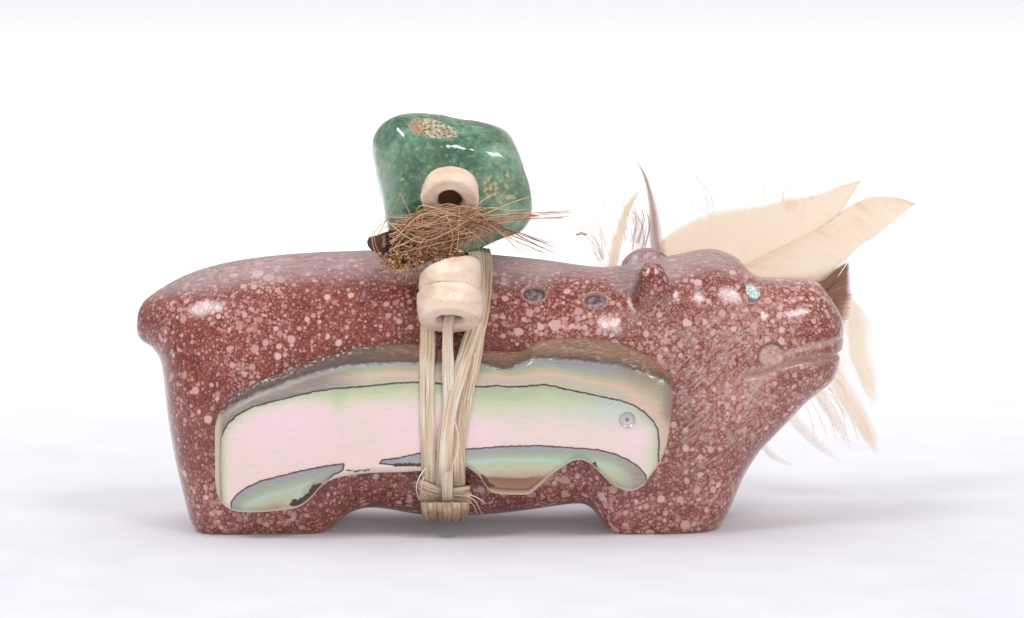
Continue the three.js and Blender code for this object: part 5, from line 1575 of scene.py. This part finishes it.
# Each group: how many hairs, the four boxes that they run through, and how wavy they are.
HAIR_GROUPS = [
    (
        50, ((25.0, -10.5, 29.2), (29.4, -9.6, 31.8)), ((28.5, -11.3, 30.2), (32.0, -10.5, 33.0)),
        ((32.4, -11.2, 30.6), (34.6, -10.0, 32.8)), ((32.8, -10.8, 29.6), (36.6, -7.5, 32.6)), 0.2,
    ),
    (
        46, ((25.4, -11.0, 28.0), (29.4, -10.4, 31.4)), ((28.6, -11.5, 28.6), (32.6, -10.7, 32.4)),
        ((32.2, -11.2, 29.4), (34.4, -9.8, 32.2)), ((32.6, -10.8, 28.4), (36.2, -7.5, 31.6)), 0.25,
    ),
    (
        45, ((27.0, -10.8, 26.9), (31.4, -10.0, 29.6)), ((28.8, -11.4, 28.4), (32.8, -10.4, 31.8)),
        ((30.6, -11.3, 29.6), (34.6, -10.0, 32.6)), ((32.0, -10.9, 29.6), (36.4, -7.9, 32.0)), 0.25,
    ),
    (
        14, ((28.0, -11.0, 29.0), (31.0, -10.5, 31.5)), ((31.2, -11.0, 30.0), (33.2, -10.7, 32.2)),
        ((33.7, -10.6, 30.6), (34.7, -9.8, 32.3)), ((37.5, -10.5, 27.9), (41.0, -8.0, 32.6)), 0.1,
    ),
    (
        7, ((26.5, -11.0, 29.5), (29.0, -10.5, 31.5)), ((31.0, -11.2, 31.0), (32.5, -10.8, 32.0)),
        ((33.9, -10.8, 31.2), (34.6, -10.2, 31.8)), ((42.3, -10.0, 31.4), (43.4, -8.5, 32.3)), 0.08,
    ),
    (
        8, ((27.5, -11.0, 28.5), (29.5, -10.5, 30.5)), ((31.2, -11.0, 30.0), (32.4, -10.7, 31.0)),
        ((34.2, -10.6, 30.6), (34.8, -10.0, 31.4)), ((40.6, -10.0, 27.8), (42.4, -8.5, 29.0)), 0.08,
    ),
]
STRAY_HAIRS = [
    [(26.7, -10.6, 34.0), (27.6, -10.9, 32.1), (28.5, -11.0, 30.3), (29.3, -10.9, 28.3)],
    [(24.4, -10.0, 29.8), (25.2, -10.3, 31.2), (26.0, -10.5, 32.6), (26.7, -10.6, 34.0)],
    [(33.9, -10.6, 31.6), (35.6, -10.4, 32.3), (37.6, -9.9, 33.1), (39.6, -9.5, 33.7)],
    [(24.2, -10.1, 28.2), (23.9, -10.3, 29.6), (24.3, -10.4, 31.0), (25.3, -10.4, 32.2)],
    [(33.6, -10.4, 32.3), (34.8, -10.4, 33.4), (36.0, -10.2, 34.0)],
    [(33.4, -10.5, 31.9), (35.4, -10.2, 32.6), (37.4, -9.9, 32.3), (39.2, -9.6, 32.4)],
    [(25.6, -10.4, 27.2), (24.5, -10.5, 28.4), (24.2, -10.4, 30.2), (25.8, -10.4, 31.9)],
]
hairs = []
for count, *boxes, wave in HAIR_GROUPS:
    for _ in range(count):
        spots = [dice.uniform(*box) for box in boxes]
        line = smooth_path(spots, HAIR_STEPS)
        swing = np.sin(np.linspace(0, dice.uniform(2, 7), HAIR_STEPS) + dice.uniform(0, 6))
        line[:, 2] += wave * swing * np.linspace(0.2, 1, HAIR_STEPS)
        hairs.append(line)
hairs += [smooth_path(line, HAIR_STEPS) for line in STRAY_HAIRS]
tones = dice.uniform(0, 1, len(hairs))
hair_mesh = threads(hairs, HAIR_RADIUS, tones, (1.0, 0.6), sides=0)
GOLDEN_CURLS = 420
CURL_TONES = [0.1, 0.6, 1.4, 1.9, 2.4]
curls = []
for _ in range(GOLDEN_CURLS):
    share = dice.uniform(0, 1)
    spot = np.array([25.4 + 7.0 * share, -10.3, 27.4 + 1.5 * share])
    spot = spot + dice.normal(0, (0.5, 0.25, 0.75))
    steps = np.cumsum(dice.normal(0, 0.11, (5, 3)) + dice.normal(0, 0.07, 3), axis=0)
    curls.append(smooth_path(spot + steps, 9))
curl_tones = dice.choice(CURL_TONES, GOLDEN_CURLS)
curl_mesh = threads(curls, CURL_RADIUS, curl_tones, (1.0, 0.6), sides=0)
for mesh in (hair_mesh, curl_mesh):
    ones = np.ones(len(mesh.vertices))
    keep_attributes(mesh, crest=0.5 * ones, stub=0 * ones, hairiness=ones)
join(root, hair_mesh, curl_mesh)
print("hairs:", len(hairs), "golden curls:", len(curls))

# %% [markdown]
# The root is near black in its cracks, golden on its crests and reddish brown on its cut
# stub. The hairs run from rust to straw, each in its own tone, and the short curls on the
# root are golden.

# %% Dried root and hair
hair_stuff, hair_shader, hair = new_material("dried_root_and_coarse_hair", IOR=1.5)
root_colour = hair(
    "ValToRGB", "crest",
    stops=[(0.3, "#24150F"), (0.5, "#46291C"), (0.68, "#7A4E2C"), (0.85, "#B58A50")],
)
root_colour = lay_over(root_colour, "#4A2A1E", "stub")
hair_tone = hair("Math", "tone", 0.4, operation="MULTIPLY")
hair_colour = hair(
    "ValToRGB", hair_tone,
    stops=[
        (0.0, "#7A4A32"), (0.2, "#BA8C6E"), (0.42, "#ECC29C"), (0.6, "#8C5634"), (0.95, "#DDAE7A")
    ],
)
hair_colour = lay_over(root_colour, hair_colour, "hairiness")
hair_rough = hair("MapRange", "hairiness", To_Min=0.6, To_Max=0.4)
dress(hair_shader, Base_Color=hair_colour, Roughness=hair_rough)
settle(root, hair_stuff, "dried_hair", "hair_tuft")

# %% [markdown]
# A feather is a shaft with a vane of barbs on each side. Where the barbs still hook together
# they make a smooth sheet with fine slanting ribs; where they are worn apart they hang as
# soft strands with pointed tips. So a whole vane is one grid between two lines, its rows
# leaning toward the tip as barbs do, and a worn vane is a few drawn-out strips. Barbs let
# the background through between them, so each point keeps how much of it they cover.

# %% Sheets and strips of barbs
QUILL_Y = 10.78
SHEET_THICKNESS = 0.03
LOOSE_RADIUS = 0.09
SHAFT_FACTS = {"faint": 0.25, "cover": 1.0}
WISP_FACTS = {"faint": 0.3, "cover": 0.42}
feather_facts = {"rib": [], "warmth": [], "faint": [], "cover": []}


def along_line(line, share):
    """Spots on a flat line at shares 0..1 of its length."""
    dense = smooth_path(line, 20 * len(line))
    run = run_along(dense)
    share = np.clip(share, 0, 1) * run[-1]
    return np.stack([np.interp(share, run, dense[:, k]) for k in (0, 1)], axis=-1)


def fold_out(x, layer):
    """Depth at x of a layer that leaves the bound quills and reaches its own depth."""
    return QUILL_Y + (layer - QUILL_Y) * ramp(x, 36, 45)


def barb_grid(bm, cuts):
    """Adds a flat grid. Returns its points and where they lie along and across, 0..1."""
    verts = bmesh.ops.create_grid(bm, x_segments=cuts[0], y_segments=cuts[1], size=1)["verts"]
    u, v = np.array([((vert.co.x + 1) / 2, (vert.co.y + 1) / 2) for vert in verts]).T
    return verts, u, v


def place_barbs(verts, spot, y, **facts):
    """Moves a grid's points to their places and notes their facts."""
    for vert, (x, z), depth in zip(verts, spot, y):
        vert.co = (x, depth, z)
    for fact, values in facts.items():
        feather_facts[fact].extend(np.broadcast_to(values, len(verts)))


def vane(bm, inner, outer, layer, lean, ragged, warmth=0.5, cuts=(420, 10)):
    """A whole vane from the shaft's line to the outer line, its barbs leaning to the tip."""
    verts, u, v = barb_grid(bm, cuts)
    base = along_line(inner, u * (1 + lean) - lean)
    wear = noise_at(u * 90, layer, 0) + noise_at(u * 22, 0, layer)
    spot = base + (along_line(outer, u) - base) * (v * (1 + ragged * wear))[:, None]
    spot += (along_line(inner, u) - base) * (0.35 * v * (1 - v))[:, None]
    rib = noise_at(u * 60 + 3 * layer, v * 0.6, 0)
    belly = 0.25 * np.sin(v * math.pi) * ramp(spot[:, 0], 36, 45)
    place_barbs(
        verts, spot, fold_out(spot[:, 0], layer) + 0.05 * rib + belly,
        rib=rib, warmth=warmth * v, faint=0.0, cover=np.minimum(1, (1 - v) * 14 + 0.1),
    )


def strip(bm, path, widths, layer, warmth=0.5, faint=0.0, cuts=(44, 8)):
    """A loose strand of barbs: a thin leaf along a path, pointed where its width ends."""
    verts, u, v = barb_grid(bm, cuts)
    v = 2 * v - 1  # from edge to edge
    ahead = along_line(path, u + 0.02) - along_line(path, u - 0.02)
    ahead /= np.linalg.norm(ahead, axis=1)[:, None]
    wide = np.interp(u, np.linspace(0, 1, len(widths)), widths) / 2
    wide = wide * (1 + 0.25 * noise_at(u * 5, v * 3, layer * 7))
    aside = np.stack([-ahead[:, 1], ahead[:, 0]], axis=1) * (v * wide)[:, None]
    rib = noise_at(v * 5, u * 1.5, layer * 3)
    edge = np.clip(1.4 * (1 - np.abs(v)) + 0.35 * rib, 0, 1)
    place_barbs(
        verts, along_line(path, u) + aside, layer + 0.1 * rib + 0.3 * np.sin(u * 5),
        rib=rib, warmth=warmth * u, faint=faint,
        cover=edge * np.clip((1 - u) * 5, 0, 1) * (1 - 0.6 * faint),
    )


# %% [markdown]
# A shaft is a tapering tube. It runs from its feather back under the sinew, because something
# has to hold the feather there. Barbs that have come loose stand away as single threads, and
# those of one group bend the same way, as handling has left them.

# %% Shafts and loose barbs
def loose_barbs(*groups):
    """Loose barbs that stand away from a feather and bend much the same way in each group.

    A group is how many, the two corners of the box they start in, their reach and their bow.
    """
    lines = []
    for count, low, high, reach, bow in groups:
        for _ in range(count):
            start = dice.uniform(low, high)
            run = np.array(reach) * dice.uniform(0.5, 1.1) + dice.normal(0, (0.4, 0.1, 0.25))
            bent = start + run * 0.5 + np.array(bow) * dice.uniform(0.3, 1.4)
            lines.append(smooth_path([start, bent, start + run], 14))
    return lines


def feather(name, bm, quill, layer, quill_radius, wisps=()):
    """Closes the sheets, adds the shaft and loose wisps, and returns the piece."""
    obj = new_object(name, bm)
    keep_attributes(obj.data, **feather_facts)
    for values in feather_facts.values():
        values.clear()
    sheet = obj.modifiers.new("thickness", "SOLIDIFY")
    sheet.thickness = SHEET_THICKNESS
    finished(obj)
    x, z = along_line(quill, np.linspace(0, 1, 60)).T
    shaft = np.stack([x, fold_out(x, layer - 0.2), z], axis=1)
    extra = [(threads([shaft], quill_radius, [0.9], (1.0, 0.3), sides=2), SHAFT_FACTS)]
    if len(wisps):
        tones = dice.uniform(0, 1, len(wisps))
        extra.append((threads(wisps, LOOSE_RADIUS, tones, (1.0, 0.5), sides=0), WISP_FACTS))
    for mesh, facts in extra:
        ones = np.ones(len(mesh.vertices))
        keep_attributes(mesh, **{fact: facts.get(fact, 0.25) * ones for fact in feather_facts})
    join(obj, *[mesh for mesh, _ in extra])
    print(name, "loose barbs:", len(wisps))
    return obj


# %% [markdown]
# Two short, worn feathers stand behind the ears, one cream and one brown. Little is left of
# their vanes, so each is one or two drawn-out strips with loose barbs round them, and one
# small brown barb has caught in the cream ones.

# %% Two short feathers and their loose barbs
SHORT_QUILL = [(29.5, 12), (36, 14), (43, 18), (46.3, 22.5)]
SMALL_SPINE = [
    (46.9, 21.5), (47.85, 24.9), (48.2, 26.8), (48.6, 28.3), (49.1, 30.1), (49.9, 31.6),
    (50.6, 32.5), (51.4, 33.4),
]
BROWN_SPINE = [
    (52.9, 22.5), (52.6, 24.6), (52.4, 26.2), (52.2, 28.3), (51.9, 30.8), (51.3, 33.4),
    (50.65, 34.8), (49.8, 36.2),
]
FAINT_SPINE = [(50.4, 24.0), (50.6, 26.5), (50.4, 29.0), (50.0, 31.0)]
SPECK_SPINE = [(44.1, 27.8), (44.6, 27.95), (45.3, 27.9)]  # the small speck before them
BROWN_QUILL = [(29.5, 10.8), (36, 12.9), (46, 18.6), (51.5, 21.8)]
bm = bmesh.new()
strip(bm, SMALL_SPINE, [1.0, 1.4, 1.7, 1.6, 1.3, 1.0, 0.6, 0.1], 10.85, 0.8)
small_wisps = loose_barbs(
    (9, (45.9, 10.8, 24.4), (47.6, 11.3, 26.0), (-3.8, 0.1, 4.4), (0.5, 0, 0.9)),
    (6, (46.6, 10.8, 25.0), (48.2, 11.3, 27.5), (-1.4, 0.1, 5.0), (-0.4, 0, 0.4)),
    (6, (48.8, 10.9, 27.0), (50.0, 11.3, 29.0), (-1.6, 0.1, 4.6), (0.3, 0, 0.3)),
)
short_cream = feather("short_cream_barbs", bm, SHORT_QUILL, 10.75, 0.34, small_wisps)
bm = bmesh.new()
strip(bm, BROWN_SPINE, [1.4, 1.7, 1.8, 1.6, 1.05, 0.55, 0.35, 0.1], 11.45, 0.6, 0.3)
strip(bm, FAINT_SPINE, [1.2, 2.0, 1.6, 0.3], 11.5, 0.3, 0.85)
strip(bm, SPECK_SPINE, [0.15, 0.5, 0.2], 11.3, 0.4, 0.0, (10, 4))
brown_wisps = loose_barbs(
    (8, (49.4, 11.4, 25.8), (51.8, 11.8, 27.5), (-0.2, 0.1, 5.6), (0.4, 0, 0.3))
)
short_brown = feather("short_brown_barbs", bm, BROWN_QUILL, 11.45, 0.34, brown_wisps)

# %% [markdown]
# The large feather behind the head is nearly whole, but its vane has split along the shaft
# into two lobes that stand a little apart. So each lobe is a vane of its own, between the
# shaft's line and the lobe's outer edge.

# %% The large cream feather behind the head
LARGE_QUILL = [
    (29.5, 9.6), (36, 11.4), (48, 17.4), (56.9, 22.1), (65.0, 26.2), (69.3, 28.5), (71.0, 29.5),
]
UPPER_BASE = [(45, 16), (56.9, 22.1), (65, 26.2), (69.3, 28.5), (71.4, 30.4), (73.2, 33.3)]
UPPER_LOBE = [
    (47.5, 21.0), (52.2, 26.0), (52.9, 27.3), (54.8, 29.0), (57.8, 30.2), (59.9, 30.7), (63, 31.0),
    (66, 31.7), (69.1, 32.1), (71.1, 32.9), (73.3, 33.4),
]
LOWER_BASE = [
    (45, 16), (56.9, 22.1), (65, 26.2), (70.0, 29.0), (71.5, 30.3), (74.2, 31.6), (77, 31.6),
    (78.9, 31.0),
]
LOWER_LOBE = [
    (50, 15.6), (60, 18.6), (67.1, 21.9), (70, 23.4), (72.2, 25.3), (73.4, 26.5), (75.3, 27.8),
    (77.3, 29.6), (79.0, 30.95),
]
bm = bmesh.new()
vane(bm, UPPER_BASE, UPPER_LOBE, 12.15, 0.35, 0.015, 0.9)
vane(bm, LOWER_BASE, LOWER_LOBE, 12.3, 0.35, 0.015, 0.4)
faint_wisps = loose_barbs(
    (6, (55.4, 12.3, 29.4), (58.6, 12.5, 30.6), (-2.5, 0.1, 5.4), (0.3, 0, 0.3)),
    (8, (62.6, 12.3, 30.9), (66.0, 12.5, 31.5), (-0.1, 0.1, 3.4), (0.1, 0, 0)),
)
large_cream = feather("large_cream_barbs", bm, LARGE_QUILL, 12.15, 0.36, faint_wisps)

# %% [markdown]
# Below it a whole brown feather shows its tip, and a worn cream feather droops past the
# snout. The brown one is two vanes on one shaft. The drooping one has come apart, so it is
# five long strips, the inner ones fainter than the outer ones.

# %% The brown feather and the drooping feather
BROWN_LINE = [(48, 14.6), (56, 17.0), (64, 19.8), (69.5, 21.0)]
BROWN_TOP = [(54, 18), (62, 22.6), (69.0, 23.6), (70.8, 24.3), (72.1, 25.0)]
BROWN_FOOT = [(58, 14), (66, 16.2), (71.2, 17.8), (72.4, 20.4), (72.4, 22.6), (72.2, 25.0)]
BIG_BROWN_QUILL = [(29.5, 8.4), (36, 10.2), (50, 15.4), (60, 18.4)]
DROOPING_QUILL = [(29.5, 7.2), (36, 8.8), (50, 12.6), (60, 15.6), (68, 18.4), (70.8, 20.6)]
# Each strand: its path, its widths, its layer, its warmth and its faintness.
DROOPING_STRANDS = [
    (
        [
            (70.2, 20.8), (72.3, 20.2), (73.2, 17.4), (73.3, 15.3), (74.1, 13.2), (74.7, 11.1),
            (74.9, 9.7),
        ],
        [1.0, 2.4, 3.9, 3.3, 2.7, 1.9, 0.6], 13.5, 0.6, 0.1,
    ),
    (
        [
            (67.6, 18.6), (69.8, 15.4), (71.5, 11.9), (72.6, 10.1), (73.7, 8.3), (74.6, 6.5),
            (75.3, 4.6),
        ],
        [1.0, 2.6, 3.3, 2.5, 2.4, 1.9, 0.5], 13.45, 0.9, 0.15,
    ),
    (
        [(66.2, 17.8), (67.6, 14.0), (69.4, 10.9), (71.2, 8.0), (72.6, 5.4)],
        [0.8, 1.4, 1.7, 1.5, 0.5], 13.7, 0.5, 0.5,
    ),
    (
        [(64.0, 17.0), (65.0, 12.0), (66.8, 8.3), (69.4, 5.7), (71.8, 3.9)],
        [0.8, 1.2, 1.5, 1.4, 0.4], 13.75, 0.5, 0.7,
    ),
    ([(60.5, 15.8), (61.4, 10.4), (64.0, 5.2), (67.4, 3.4)], [0.7, 1.0, 1.1, 0.4], 13.6, 0.3, 0.85),
]
bm = bmesh.new()
vane(bm, BROWN_LINE, BROWN_TOP, 12.85, 0.2, 0.03)
vane(bm, BROWN_LINE, BROWN_FOOT, 12.9, 0.2, 0.03)
large_brown = feather("large_brown_barbs", bm, BIG_BROWN_QUILL, 12.85, 0.36)
bm = bmesh.new()
for strand in DROOPING_STRANDS:
    strip(bm, *strand)
drooping_wisps = loose_barbs(
    (10, (65.5, 13.4, 11.5), (70.5, 13.8, 14.5), (3.8, 0, -6.4), (0.5, 0, 0.4))
)
drooping = feather("drooping_cream_barbs", bm, DROOPING_QUILL, 13.55, 0.36, drooping_wisps)

# %% [markdown]
# Barbs are thin enough for light to come through, so the surface is partly translucent, and
# it is clear where few barbs cover the background. The ribs show as slightly darker streaks,
# and worn tips are warmer.

# %% Cream and brown barbs
BARB_GLOW = 0.75  # the translucent share of the light
for material_name, slot_name, stops, pieces in (
    (
        "cream_feather_barbs",
        "cream_feather",
        [(0.0, "#F6E4D0"), (0.25, "#FFF4E6"), (0.6, "#FFF6EA"), (1.0, "#F9DEBC")],
        [
            (short_cream, "short_cream_feather"), (large_cream, "large_cream_feather"),
            (drooping, "drooping_cream_feather"),
        ],
    ),
    (
        "brown_feather_barbs",
        "brown_feather",
        [(0.0, "#9C7C6C"), (0.3, "#B89886"), (0.7, "#D0B2A2"), (1.0, "#AE8A76")],
        [(short_brown, "short_brown_feather"), (large_brown, "brown_feather")],
    ),
):
    barb_stuff, barb_shader, barb = new_material(
        material_name, Roughness=0.75, Specular_IOR_Level=0.2
    )
    # Object coordinates are in metres, so 260 makes patches of about 4 mm.
    place = barb("TexCoord", out="Object")
    drift = barb("TexNoise", place, Scale=260.0, Detail=3.0)
    shade = barb("Math", drift, 0.7, -0.1, operation="MULTIPLY_ADD")
    shade = barb("Math", "rib", 0.16, shade, operation="MULTIPLY_ADD")
    warm_here = barb("Math", "warmth", drift, operation="MULTIPLY")
    shade = barb("Math", warm_here, 0.8, shade, operation="MULTIPLY_ADD")
    barb_colour = barb("ValToRGB", shade, stops=stops)
    barb_colour = lay_over(barb_colour, "#FFF8F4", "faint")
    dress(barb_shader, Base_Color=barb_colour)
    glow = barb("BsdfTranslucent", barb_colour)
    both = barb("MixShader", BARB_GLOW, barb_shader.outputs["BSDF"], glow)
    gaps = barb("BsdfTransparent")
    both = barb("MixShader", "cover", gaps, both)
    out = next(n for n in barb_stuff.node_tree.nodes if n.type == "OUTPUT_MATERIAL")
    barb_stuff.node_tree.links.new(both, out.inputs["Surface"])
    for piece, node in pieces:
        settle(piece, barb_stuff, slot_name, node)
